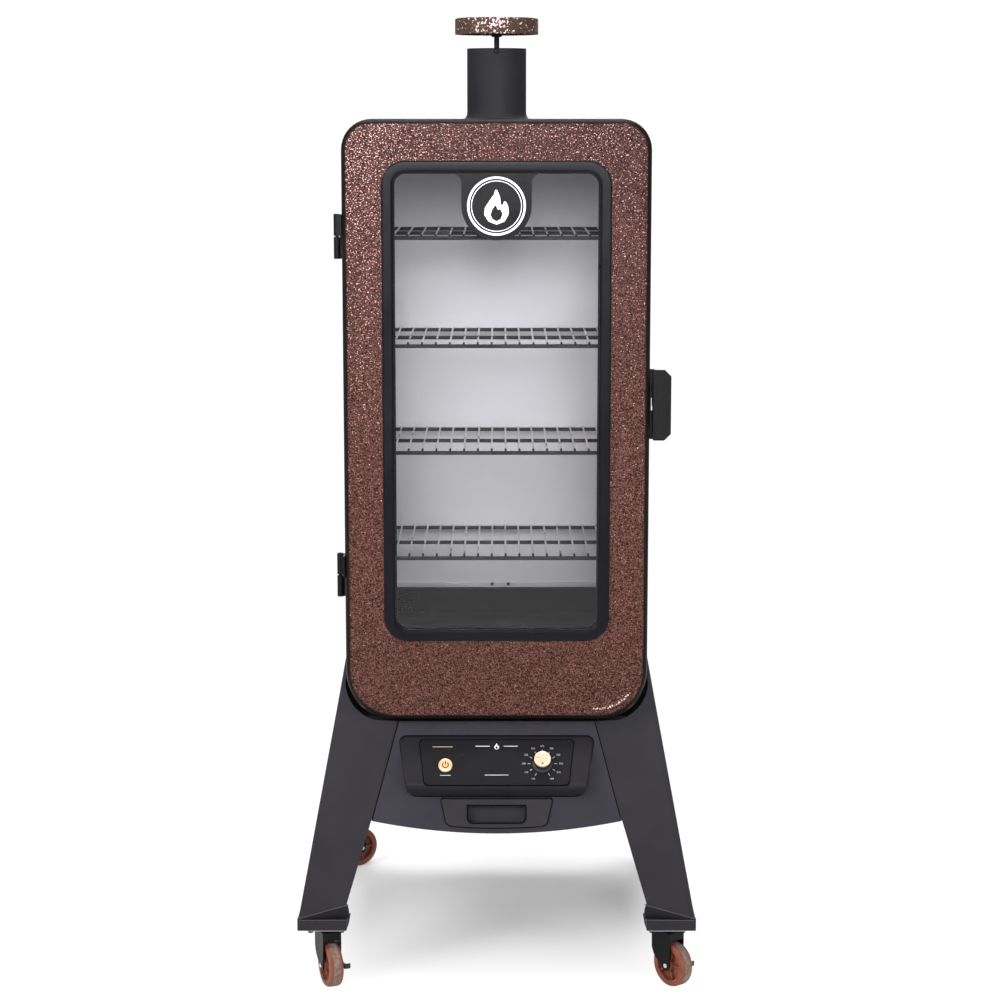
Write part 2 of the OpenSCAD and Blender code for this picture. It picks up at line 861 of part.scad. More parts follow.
module hinge_leaves() {
    color("#151517") for (m = hinge_mids) translate([hinge_x, hinge_y, m + 1]) difference() {
        union() {
            cylinder(r = hinge_barrel_r, h = hinge_half - 1);
            translate([0, -hinge_barrel_r, 0]) cube([-door_w/2 - hinge_x, hinge_barrel_r, hinge_half - 1]);
            translate([6.5, -34, 0]) cube([-door_w/2 - hinge_x - 6.5, 32, hinge_half - 1]);
        }
        translate([0, 0, -1]) cylinder(r = hinge_pin_r + play, h = hinge_half + 1);
    }
}

module latch_bracket() {
    color("#151517") translate([latch_x, latch_y, latch_z]) union() {
        cylinder(r = latch_pin_r, h = 75, center = true);
        translate([door_w/2 - latch_x, -1, -40]) cube([2, 9, 80]);
        for (z = [-37.5, 34.5]) translate([0, 0, z]) {
            cylinder(r = 4.5, h = 3);
            translate([door_w/2 - latch_x, 0, 0]) cube([latch_x - door_w/2, 4.5, 3]);
        }
    }
}

module latch_handle() {
    paddle_w = paddle_x - latch_x;
    cut = 11;
    color("#1a1a1c") translate([latch_x, latch_y, latch_z]) difference() {
        union() {
            cylinder(r = 5, h = 69 - 2*gap, center = true);
            translate([-4, -6, -34]) cube([8, 6, 68]);
            slab(-9.5, -5) polygon([[-4, -paddle_h/2], [paddle_w - cut, -paddle_h/2],
                [paddle_w, cut - paddle_h/2], [paddle_w, paddle_h/2 - cut],
                [paddle_w - cut, paddle_h/2], [-4, paddle_h/2]]);
            translate([-3, 0, -8]) cube([4, 50, 16]);
        }
        cylinder(r = latch_pin_r + play, h = 80, center = true);
    }
}

// ---- Racks, pan and drawer ----

module rack(level) {
    z = rack_z + level*rack_pitch;
    bar_r = bar_d/2;
    wire_r = wire_d/2;
    wire_z = bar_r + wire_r - 0.5;
    back = bar_front + 2*bar_step;
    color("#8e8e90") translate([0, 0, z]) union() {
        for (k = [0:2]) translate([-rack_x, bar_front + k*bar_step, 0]) rotate([0, 90, 0])
            cylinder(r = bar_r, h = 2*rack_x, $fn = 24);
        for (s = [-1, 1]) y_rod(s*(rack_x - 4), 0, bar_r, bar_front - 3, back + 3);
        for (i = [0:wire_count - 1]) {
            x = (i - (wire_count - 1)/2)*wire_pitch + wire_shift;
            y_rod(x, wire_z, wire_r, bar_front - bar_r - 1, back + 8, $fn = 16);
            translate([x, bar_front - bar_r - 1, 0]) cylinder(r = wire_r, h = wire_z + wire_r, $fn = 16);
        }
    }
}

module rack_1() rack(0);
module rack_2() rack(1);
module rack_3() rack(2);
module rack_4() rack(3);

module water_pan() {
    basin_x = pan_x - 12;
    color("#242424") difference() {
        union() {
            translate([-pan_x, pan_front, pan_z - sheet]) cube([2*pan_x, pan_back - pan_front, sheet]);
            translate([-basin_x, pan_front + 8, pan_z - pan_depth])
                cube([2*basin_x, pan_back - pan_front - 16, pan_depth]);
        }
        translate([-basin_x + sheet, pan_front + 8 + sheet, pan_z - pan_depth + sheet])
            cube([2*(basin_x - sheet), pan_back - pan_front - 16 - 2*sheet, pan_depth]);
    }
}

// Finger pull outline, in slope coordinates: square at the top, rounded below
module pull_outline() {
    low = up_front(282);
    round_r = 12;
    translate([-49, low + round_r]) square([98, up_front(310) - low - round_r]);
    translate([-37, low]) square([74, 20]);
    for (s = [-1, 1]) translate([s*37, low + round_r]) circle(round_r);
}

module ash_drawer() {
    color("#26262a") difference() {
        union() {
            on_front() translate([0, 0, gap]) linear_extrude(5)
                polygon([[-drawer_top_x, up_front(drawer_top)], [drawer_top_x, up_front(drawer_top)],
                    [drawer_bottom_x + 3, up_front(drawer_bottom + 6)],
                    [drawer_bottom_x - 4, up_front(drawer_bottom)],
                    [-drawer_bottom_x + 4, up_front(drawer_bottom)],
                    [-drawer_bottom_x - 3, up_front(drawer_bottom + 6)]]);
            difference() {
                translate([-drawer_box_x, -335, 278]) cube([2*drawer_box_x, drawer_len + 15, 38]);
                on_front() translate([-150, -250, 1]) cube([300, 200, 60]);
                intersection() {
                    translate([-drawer_box_x + sheet, -340, 278 + sheet])
                        cube([2*(drawer_box_x - sheet), drawer_len + 20 - sheet, 50]);
                    on_front() translate([-150, -400, -315]) cube([300, 600, 300]);
                }
            }
        }
        on_front() translate([0, 0, -12]) linear_extrude(30) pull_outline();
    }
}

// ---- Casters ----

module caster_plates() {
    color("#202022") for (c = casters) on_corner(c) union() {
        translate([-32, -32, plate_z]) cube([64, 64, 3]);
        translate([0, 0, fork_top_z + gap]) cylinder(r = 21, h = plate_z - fork_top_z - gap);
        translate([0, 0, 90]) cylinder(r = 5, h = plate_z - 90);
        translate([0, 0, 90]) cylinder(r = 9, h = 3.2);
    }
}

module fork(c, axle_end) {
    leg_y = wheel_w/2 + 2;
    color("#1a1a1c") on_caster(c) difference() {
        union() {
            translate([0, 0, fork_top_z - 2.8]) cylinder(r = 20, h = 2.8);
            translate([0, -leg_y - 2.5, fork_top_z - 2.8]) cube([27, 2*leg_y + 5, 2.8]);
            for (s = [0, 1]) mirror([0, s, 0]) slab(leg_y, leg_y + 2.5)
                polygon([[-19, fork_top_z - 1], [27, fork_top_z - 1], [28, 74],
                    [caster_trail + 9.5, axle_z], [caster_trail + 4.5, axle_z - 10],
                    [caster_trail - 5, axle_z - 10], [-13, 50], [-18.5, 62]]);
            for (x = [-19, 24.5]) translate([x, -leg_y - 1, 81])
                cube([2.5, 2*leg_y + 2, fork_top_z - 82]);
            y_rod(caster_trail, axle_z, axle_r, -leg_y - 5, leg_y + axle_end);
            y_rod(caster_trail, axle_z, 6.5, -leg_y - 5.5, -leg_y - 2.5, $fn = 6);
            y_rod(caster_trail, axle_z, 6.5, leg_y + axle_end - 3.5, leg_y + axle_end, $fn = 6);
        }
        translate([0, 0, 80]) cylinder(r = 5 + play, h = 30);
    }
}

module wheel(c) {
    hub_y = wheel_w/2 + 1.5;
    half = wheel_w/2;
    r = wheel_d/2;
    color("#b4502c") on_caster(c) translate([caster_trail, 0, axle_z]) rotate([90, 0, 0])
        rotate_extrude() polygon([[axle_r + play, -hub_y], [10, -hub_y], [10, -5], [r - 11, -5],
            [r - 11, -half], [r - 3.5, -half], [r - 1, -half + 2], [r, -half + 6], [r, half - 6],
            [r - 1, half - 2], [r - 3.5, half], [r - 11, half], [r - 11, 5], [10, 5], [10, hub_y],
            [axle_r + play, hub_y]]);
}

module brake_lever(c) {
    lever_y = wheel_w/2 + 4.5 + gap;
    color("#151517") on_caster(c) translate([caster_trail, 0, axle_z]) difference() {
        union() {
            y_rod(0, 0, 8, lever_y, lever_y + 2.5);
            translate([0, lever_y, -4]) cube([24, 2.5, 9]);
            translate([21, lever_y, -4]) cube([3, 11, 9]);
        }
        y_rod(0, 0, axle_r + play, lever_y - 1, lever_y + 4);
    }
}

module front_left_fork() fork(casters[0], 9.2);
module front_right_fork() fork(casters[1], 9.2);
module rear_left_fork() fork(casters[2], 6);
module rear_right_fork() fork(casters[3], 6);
module front_left_wheel() wheel(casters[0]);
module front_right_wheel() wheel(casters[1]);
module rear_left_wheel() wheel(casters[2]);
module rear_right_wheel() wheel(casters[3]);
module left_brake_lever() brake_lever(casters[0]);
module right_brake_lever() brake_lever(casters[1]);

// ---- Fasteners ----

module screws() {
    color("#5a5a5c") union() {
        for (a = [0:120:240]) translate([0, stack_y, stack_top - 5]) rotate([0, 0, a])
            y_rod(0, 0, 4, -stack_r - 2.5, -stack_r);
        for (m = hinge_mids) for (z = [12, 28]) translate([hinge_x + 8, body_front + 24, m - z])
            rotate([0, -90, 0]) cylinder(r = 4, h = 2.5);
        for (s = [-1, 1]) for (z = [920:120:1400])
            y_rod(s*(body_w/2 - 12), z, 4, body_back + sheet, body_back + sheet + 2.5);
        for (c = casters) on_corner(c) for (i = [-1, 1]) for (j = [-1, 1])
            translate([26*i, 26*j, plate_z - 3.5]) cylinder(r = 5, h = 3.5, $fn = 6);
    }
}

outer_shell();
rear_panel();
inner_liner();
insulation();
rack_rails();
heat_deflector();
burn_pot();
igniter_rod();
temperature_probe();
auger_tube();
auger_motor();
pellet_hopper();
fan_housing();
aprons();
base_deck();
base_floor();
legs();
control_bezel();
faceplate();
control_board();
status_lamp();
power_inlet();
stack_pipe();
stack_bracket();
hinge_brackets();
caster_plates();
screws();
door_skin();
door_liner();
door_insulation();
window_glass();
window_trim();
glass_retainer();
door_gasket();
hinge_leaves();
latch_bracket();
latch_handle();
rack_1();
rack_2();
rack_3();
rack_4();
water_pan();
ash_drawer();
hopper_lid();
auger_screw();
fan_impeller();
temperature_knob();
power_button();
cap_nut();
stack_cap();
front_left_fork();
front_right_fork();
rear_left_fork();
rear_right_fork();
front_left_wheel();
front_right_wheel();
rear_left_wheel();
rear_right_wheel();
left_brake_lever();
right_brake_lever();
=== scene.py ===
"""Looks of the electric cabinet smoker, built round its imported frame.

Lengths are millimetres until they reach a mesh. The cabinet faces -Y and stands on Z = 0.
"""

from math import cos, hypot, pi, radians, sin, sqrt, tan

import bmesh
import bpy
from mathutils import Matrix, Vector


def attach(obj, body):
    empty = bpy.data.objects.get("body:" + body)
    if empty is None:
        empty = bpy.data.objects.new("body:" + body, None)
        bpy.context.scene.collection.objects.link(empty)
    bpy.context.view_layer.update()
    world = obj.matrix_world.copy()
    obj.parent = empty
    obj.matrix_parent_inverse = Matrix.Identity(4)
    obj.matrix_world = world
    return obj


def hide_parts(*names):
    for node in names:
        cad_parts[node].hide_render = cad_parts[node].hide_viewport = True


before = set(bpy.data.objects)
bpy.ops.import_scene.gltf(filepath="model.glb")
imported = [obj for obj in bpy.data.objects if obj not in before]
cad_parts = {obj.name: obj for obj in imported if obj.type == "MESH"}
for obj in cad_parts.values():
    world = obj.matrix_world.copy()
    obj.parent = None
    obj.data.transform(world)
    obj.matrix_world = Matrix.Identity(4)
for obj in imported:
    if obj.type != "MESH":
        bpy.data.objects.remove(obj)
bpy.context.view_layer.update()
scene = bpy.context.scene
MM = 0.001

# ---- Main sizes, as in the CAD model ----

# Half width, bottom and top, seen from the front
SHELL = (250, 455, 1458)
ROOM = (222, 483, 1430)
DOOR = (254, 461, 1464)
WINDOW = (169, 617, 1377)

# Depths along Y
SHELL_FRONT, SHELL_BACK, COVER_BACK = -273, 151, 152.5
DOOR_BACK, DOOR_ROLL, DOOR_FACE = -277, -306, -319
PANE_FRONT, PANE_BACK = -316, -311

RACKS, RACK_LOW, RACK_STEP = 4, 720, 182
WIRES, WIRE_PITCH, WIRE_SHIFT = 18, 23.6, 3.5
LATCH = Vector((263, -309, 995.5))
HINGE_HEIGHTS = (703.5, 1272)
STACK_Y = -69

# Stand: distance from the middle and height where each slope starts, and its lean
FRONT_OUT, FRONT_TOP, FRONT_LEAN = 276, 462, radians(14.57)
SIDE_OUT, SIDE_TOP, SIDE_LEAN = 252, 582, radians(10.4)
SKIRT_TOP, SIDE_SKIRT_TOP, SKIRT_CORNER, SKIRT_MIDDLE = 449, 575, 285, 264.5

# Control face
FACE_TOP, FACE_LEAN = 424, radians(36)
HOUSING_LOW, PLATE_LOW = 326, 353
KNOB_X, KNOB_Z = 77.5, 383.5
BUTTON_X, BUTTON_Z = -86.7, 381
PRINT = (1.62, 1.74)

CASTER_X, CASTER_Y = 290, 323.5
TRAIL, AXLE = 18, 38


# ---- Materials ----

class Look:
    """A Principled material, with a small kit for detail in object space."""

    def __init__(self, name, color, rough, metal=0.0, specular=0.5, coat=0.0):
        self.mat = bpy.data.materials.new(name)
        self.mat.use_nodes = True
        self.tree = self.mat.node_tree
        self.shader = self.tree.nodes["Principled BSDF"]
        self.color = color
        self.set("Base Color", (*color, 1.0))
        self.set("Roughness", rough)
        self.set("Metallic", metal)
        self.set("Specular IOR Level", specular)
        self.set("Coat Weight", coat)
        self.set("Coat Roughness", 0.1)
        self.place = self.add("ShaderNodeTexCoord").outputs["Object"]
        self.normal = None

    def set(self, socket, value):
        self.shader.inputs[socket].default_value = value

    def add(self, kind, inputs=(), **options):
        node = self.tree.nodes.new(kind)
        for key, value in options.items():
            setattr(node, key, value)
        for key, value in dict(inputs).items():
            if isinstance(value, bpy.types.NodeSocket):
                self.tree.links.new(value, node.inputs[key])
            else:
                node.inputs[key].default_value = value
        return node

    def stretched(self, stretch):
        if stretch == 1:
            return self.place
        return self.add("ShaderNodeVectorMath", {0: self.place, 1: stretch}, operation="MULTIPLY").outputs[0]

    def noise(self, scale, detail=2.0, stretch=1, warp=0.0):
        return self.add("ShaderNodeTexNoise",
            {"Vector": self.stretched(stretch), "Scale": scale, "Detail": detail,
            "Roughness": 0.55, "Distortion": warp}).outputs["Fac"]

    def cells(self, scale):
        return self.add("ShaderNodeTexVoronoi", {"Vector": self.place, "Scale": scale},
            feature="DISTANCE_TO_EDGE").outputs["Distance"]

    def math(self, operation, a, b=0.0):
        return self.add("ShaderNodeMath", {0: a, 1: b}, operation=operation).outputs[0]

    def span(self, value, low, high, to_low=0.0, to_high=1.0):
        return self.add("ShaderNodeMapRange", {"Value": value, "From Min": low, "From Max": high,
            "To Min": to_low, "To Max": to_high}).outputs["Result"]

    def blend(self, a, b, factor):
        mix = self.add("ShaderNodeMix", {0: factor}, data_type="RGBA")
        for socket, value in ((mix.inputs[6], a), (mix.inputs[7], b)):
            if isinstance(value, bpy.types.NodeSocket):
                self.tree.links.new(value, socket)
            else:
                socket.default_value = (*value, 1.0)
        return mix.outputs[2]

    def axis(self, name):
        return self.add("ShaderNodeSeparateXYZ", {0: self.place}).outputs[name]

    def paint(self, color):
        self.tree.links.new(color, self.shader.inputs["Base Color"])

    def drive(self, socket, value):
        self.tree.links.new(value, self.shader.inputs[socket])

    def bump(self, height, depth_mm, strength=1.0):
        inputs = {"Height": height, "Strength": strength, "Distance": depth_mm*MM}
        if self.normal is not None:
            inputs["Normal"] = self.normal
        self.normal = self.add("ShaderNodeBump", inputs).outputs["Normal"]
        self.tree.links.new(self.normal, self.shader.inputs["Normal"])

    def vary(self, scale, spread, rough_low, rough_high, stretch=1, detail=3.0):
        """Uneven colour and gloss, from one noise."""
        value = self.noise(scale, detail, stretch)
        dark = tuple(c*(1 - spread) for c in self.color)
        light = tuple(min(1.0, c*(1 + spread)) for c in self.color)
        self.paint(self.blend(dark, light, self.span(value, 0.3, 0.7)))
        self.drive("Roughness", self.span(value, 0.3, 0.7, rough_low, rough_high))
        return self


def painted(name, color, rough, peel=0.05, specular=0.2):
    """Powder coat: faint orange peel under a fine grain."""
    look = Look(name, color, rough, specular=specular)
    look.vary(14.0, 0.12, rough - 0.05, rough + 0.07)
    look.bump(look.noise(420.0, 2.0), peel)
    look.bump(look.noise(2600.0, 1.0), peel*0.4)
    return look


def steel(name, color, rough, stretch, grain=0.02, metal=1.0):
    """Brushed sheet or drawn wire, with its grain along the axis that stretch leaves short."""
    look = Look(name, color, rough, metal=metal)
    look.vary(90.0, 0.10, rough - 0.06, rough + 0.08, stretch, 4.0)
    look.bump(look.noise(700.0, 2.0, stretch), grain)
    return look


def hammertone(name, capped=False):
    """Copper hammer finish: worm-like ridges over dark brown. On the door, painted shade makes the paint
    darker higher up and on the rolled rim, and painted highlights add more pale flakes towards the upper left
    and a dotted arc of glints in the lower right corner.

    The cap has larger worms, and a painted highlight in its middle, with more pale flakes and darker worms
    there.
    """
    look = Look(name, (0.05, 0.02, 0.016), 0.36, metal=0.1, specular=0.08)
    swirl = look.noise(170.0 if capped else 300.0, 1.0, warp=0.8)
    ridge = look.span(look.math("ABSOLUTE", look.math("SUBTRACT", swirl, 0.5)), 0.012, 0.070, 1.0, 0.0)
    cloud = look.span(look.noise(7.0, 2.0), 0.3, 0.7)
    facing = look.add("ShaderNodeSeparateXYZ",
        {0: look.add("ShaderNodeTexCoord").outputs["Normal"]}).outputs["Y"]
    speck = look.noise(240.0 if capped else 430.0, 1.0)
    if capped:
        ground = look.blend((0.042, 0.025, 0.019), (0.054, 0.032, 0.025), cloud)
        crest = (0.078, 0.048, 0.037)
        # Painted highlight: the front middle of the cap gets more pale flakes and darker worms.
        cap_highlight = look.span(look.math("ABSOLUTE", look.axis("X")), 0.010, 0.048, 1.0, 0.0)
        flake = look.span(look.math("ADD", speck, look.math("MULTIPLY", cap_highlight, 0.16)), 0.67, 0.73)
        worm = look.math("MULTIPLY", ridge, cap_highlight)
    else:
        ground = look.blend((0.019, 0.0054, 0.0044), (0.027, 0.0080, 0.0064), cloud)
        # Painted shade: the ground and the crests go darker higher up the door, toning down the light that
        # falls on its top.
        high = look.span(look.axis("Z"), 0.70, 1.40)
        ground = look.blend(ground, (0.013, 0.0034, 0.0032), high)
        crest = look.blend((0.165, 0.076, 0.058), (0.088, 0.036, 0.029), high)
        # Painted highlight: more pale flakes towards the upper left, where the light falls.
        left = look.span(look.axis("X"), -0.25, -0.02, 1.0, 0.55)
        more = look.math("MULTIPLY", look.math("MULTIPLY", high, left), 0.125)
        flake = look.span(look.math("ADD", speck, more), 0.71, 0.77)
    raised = look.blend(ground, crest, ridge)
    shown = look.blend(raised, (0.66, 0.51, 0.51) if capped else (0.60, 0.36, 0.34), flake)
    if capped:
        shown = look.blend(shown, (0.030, 0.005, 0.007), look.math("MULTIPLY", worm, 0.85))
    else:
        # Painted highlight: a dotted arc of pale glints inside the lower right corner.
        glint_dots = look.math("MULTIPLY", glint_arc(look), look.span(look.noise(380.0, 1.0), 0.50, 0.58))
        shown = look.blend(shown, (0.8, 0.66, 0.60), glint_dots)
        # Painted shade on the rolled rim, where the face turns away from the front.
        shown = look.blend(shown, (0.006, 0.004, 0.003), look.span(facing, -0.985, -0.90))
    look.paint(shown)
    look.drive("Roughness", look.span(ridge, 0.0, 1.0, 0.48, 0.30))
    look.bump(swirl, 0.7, 0.7)
    return look


def glint_arc(look):
    """Mask of the arc of painted glints inside the door's lower right corner."""
    flat = look.stretched((1.0, 0.0, 1.0))
    spoke = look.add("ShaderNodeVectorMath", {0: flat, 1: (0.172, 0.0, 0.543)},
        operation="SUBTRACT").outputs[0]
    reach = look.add("ShaderNodeVectorMath", {0: spoke}, operation="LENGTH").outputs["Value"]
    toward = look.add("ShaderNodeVectorMath", {0: spoke, 1: (0.39, 0.0, -0.92)}, operation="DOT_PRODUCT")
    ring = look.span(look.math("ABSOLUTE", look.math("SUBTRACT", reach, 0.0625)), 0.0008, 0.0026, 1.0, 0.0)
    return look.math("MULTIPLY", ring, look.span(toward.outputs["Value"], 0.052, 0.055))


copper = hammertone("copper_hammertone")
cap_copper = hammertone("cap_hammertone", capped=True)
black = painted("black_paint", (0.0148, 0.0140, 0.0168), 0.55, specular=0.08)
trim_black = painted("trim_black", (0.0035, 0.0035, 0.0055), 0.32, peel=0.015, specular=0.12)
charcoal = painted("charcoal_paint", (0.0240, 0.0224, 0.0270), 0.55, peel=0.06, specular=0.11)
apron_grey = painted("apron_paint", (0.0315, 0.0295, 0.0375), 0.55, peel=0.06, specular=0.11)
# Painted shade: a darker copy of the charcoal for the foot facets, which face away from the light.
facet_shade_grey = painted("facet_painted_shade", (0.0165, 0.0155, 0.0170), 0.55, peel=0.06, specular=0.08)
# Painted highlight: a lighter grey for thin lines along the leg folds.
fold_highlight_grey = Look("fold_highlight_grey", (0.075, 0.070, 0.078), 0.5, specular=0.2).vary(120.0, 0.1, 0.45, 0.55)
drawer_grey = painted("drawer_grey", (0.0285, 0.0268, 0.0305), 0.5, peel=0.04, specular=0.11)
panel_black = painted("panel_black", (0.0158, 0.0147, 0.0180), 0.45, peel=0.03, specular=0.12)
plate_black = painted("plate_black", (0.0114, 0.0106, 0.0128), 0.42, peel=0.012, specular=0.1)
# Painted shade: near-black for thin sheets laid in the gaps between panels and round the drawer pull.
gap_shade_black = Look("gap_shade_black", (0.0015, 0.0015, 0.0015), 0.8, specular=0.05).vary(200.0, 0.2, 0.75, 0.85)
fork_black = painted("fork_black", (0.0045, 0.0045, 0.005), 0.40, peel=0.03, specular=0.12)
enamel = painted("black_enamel", (0.0060, 0.0055, 0.0055), 0.42, peel=0.008, specular=0.08)
motor_grey = painted("motor_grey", (0.09, 0.09, 0.10), 0.5)
liner = Look("liner_steel", (0.70, 0.695, 0.72), 0.5, metal=0.12).vary(5.0, 0.05, 0.44, 0.56)
liner.bump(liner.noise(500.0, 3.0, (1.0, 1.0, 0.06)), 0.01)
zinc = steel("zinc_steel", (0.50, 0.50, 0.52), 0.34, (0.2, 1.0, 1.0))
wire = steel("rack_wire", (0.92, 0.92, 0.93), 0.3, (0.2, 0.2, 1.0), metal=0.25)
bar = steel("rack_bar", (0.007, 0.007, 0.0075), 0.5, (0.2, 1.0, 1.0), metal=0.1)
silver = steel("axle_silver", (0.72, 0.72, 0.73), 0.22, (1.0, 1.0, 1.0), 0.01)

iron = Look("cast_iron", (0.05, 0.047, 0.045), 0.7, metal=0.6).vary(40.0, 0.3, 0.6, 0.85)
iron.bump(iron.noise(500.0, 3.0), 0.25)
wool = Look("mineral_wool", (0.60, 0.53, 0.34), 0.95).vary(60.0, 0.2, 0.9, 1.0)
wool.bump(wool.noise(260.0, 4.0, (1.0, 0.2, 1.0)), 1.2)
rope = Look("rope_seal", (0.10, 0.092, 0.085), 0.9).vary(120.0, 0.25, 0.85, 0.98)
rope.bump(rope.add("ShaderNodeTexWave", {"Vector": rope.place, "Scale": 90.0, "Distortion": 1.5},
    bands_direction="DIAGONAL").outputs["Fac"], 0.8)
board = Look("board_green", (0.015, 0.11, 0.045), 0.35).vary(50.0, 0.15, 0.3, 0.42)
board.bump(board.cells(300.0), 0.05)
lamp = Look("lamp_red", (0.012, 0.004, 0.004), 0.25, coat=0.5).vary(300.0, 0.2, 0.2, 0.3)
plastic = Look("black_plastic", (0.014, 0.014, 0.015), 0.48).vary(60.0, 0.15, 0.42, 0.55)
plastic.bump(plastic.noise(1500.0, 2.0), 0.06)
label_grey = Look("label_grey", (0.46, 0.46, 0.47), 0.5).vary(400.0, 0.1, 0.45, 0.55)
label_white = Look("label_white", (0.80, 0.80, 0.80), 0.5).vary(400.0, 0.05, 0.45, 0.55)
symbol_dark = Look("symbol_dark", (0.030, 0.018, 0.014), 0.5).vary(400.0, 0.2, 0.45, 0.55)

gold = Look("knob_gold", (0.84, 0.60, 0.42), 0.3, metal=0.4).vary(260.0, 0.04, 0.26, 0.34)
gold.bump(gold.noise(1200.0, 1.0), 0.01)
cream = Look("button_cream", (0.80, 0.50, 0.27), 0.38, metal=0.25).vary(200.0, 0.08, 0.32, 0.44)
cream.bump(cream.noise(1600.0, 1.0), 0.01)

rust = Look("wheel_rust", (0.200, 0.052, 0.026), 0.42, specular=0.4).vary(70.0, 0.22, 0.34, 0.52)
rust.bump(rust.noise(350.0, 3.0), 0.12)
tread = Look("tread_worn", (0.20, 0.15, 0.13), 0.85)
tread.paint(tread.blend((0.20, 0.075, 0.045), (0.20, 0.175, 0.155),
    tread.span(tread.noise(160.0, 4.0), 0.36, 0.56)))
tread.bump(tread.noise(420.0, 4.0), 0.5)


def clear_glass():
    """Thin pane: see-through, with a mirror's share by angle."""
    look = Look("window_glass", (0.8, 0.8, 0.8), 0.05)
    clear = look.add("ShaderNodeBsdfTransparent", {"Color": (0.90, 0.90, 0.905, 1.0)})
    gloss = look.add("ShaderNodeBsdfGlossy", {"Color": (0.9, 0.9, 0.9, 1.0), "Roughness": 0.04})
    share = look.add("ShaderNodeFresnel", {"IOR": 1.35})
    mix = look.add("ShaderNodeMixShader", {0: share.outputs[0], 1: clear.outputs[0], 2: gloss.outputs[0]})
    look.tree.links.new(mix.outputs[0], look.tree.nodes["Material Output"].inputs["Surface"])
    return look


glass = clear_glass()


# ---- Shape kit ----

def axes(origin, x_dir, y_dir):
    """Local frame at origin: X along x_dir, Y along y_dir, Z out of their plane."""
    x, y = Vector(x_dir), Vector(y_dir)
    z = x.cross(y)
    return Matrix(((x.x, y.x, z.x, origin[0]), (x.y, y.y, z.y, origin[1]), (x.z, y.z, z.z, origin[2]),
        (0, 0, 0, 1)))


def panel(half, z0, z1, r_top, r_bottom, inset=0.0, steps=10):
    """Front-view outline with rounded corners, as (x, z) points."""
    points = []
    z_low, z_high = z0 + r_bottom, z1 - r_top
    corners = ((1, z_low, r_bottom, -90), (1, z_high, r_top, 0), (-1, z_high, r_top, 90),
        (-1, z_low, r_bottom, 180))
    for side, z, radius, start in corners:
        reach = max(radius - inset, 0.3)
        for i in range(steps + 1):
            a = radians(start + 90*i/steps)
            points.append((side*(half - radius) + reach*cos(a), z + reach*sin(a)))
    return points


def fillet(points, radii, steps=6):
    """Polygon with each corner rounded to its radius."""
    out = []
    for i, corner in enumerate(points):
        c = Vector(corner)
        a = (Vector(points[i - 1]) - c).normalized()
        b = (Vector(points[(i + 1) % len(points)]) - c).normalized()
        radius = radii[i] if isinstance(radii, (list, tuple)) else radii
        half = a.angle(b)/2
        if radius <= 0 or half > radians(89.5):
            out.append(tuple(c))
            continue
        centre = c + (a + b).normalized()*radius/sin(half)
        start, end = c + a*radius/tan(half) - centre, c + b*radius/tan(half) - centre
        for k in range(steps + 1):
            out.append(tuple(centre + start.slerp(end, k/steps).normalized()*radius))
    return out


def circle(x, z, radius, steps=32):
    return [(x + radius*cos(2*pi*i/steps), z + radius*sin(2*pi*i/steps)) for i in range(steps)]


def filled(curve):
    """The solid that a flat curve spans. The curve itself goes."""
    holder = bpy.data.objects.new(curve.name, curve)
    scene.collection.objects.link(holder)
    bpy.context.view_layer.update()
    mesh = bpy.data.meshes.new_from_object(holder.evaluated_get(bpy.context.evaluated_depsgraph_get()))
    part = bmesh.new()
    part.from_mesh(mesh)
    bpy.data.objects.remove(holder)
    bpy.data.curves.remove(curve)
    bpy.data.meshes.remove(mesh)
    return part


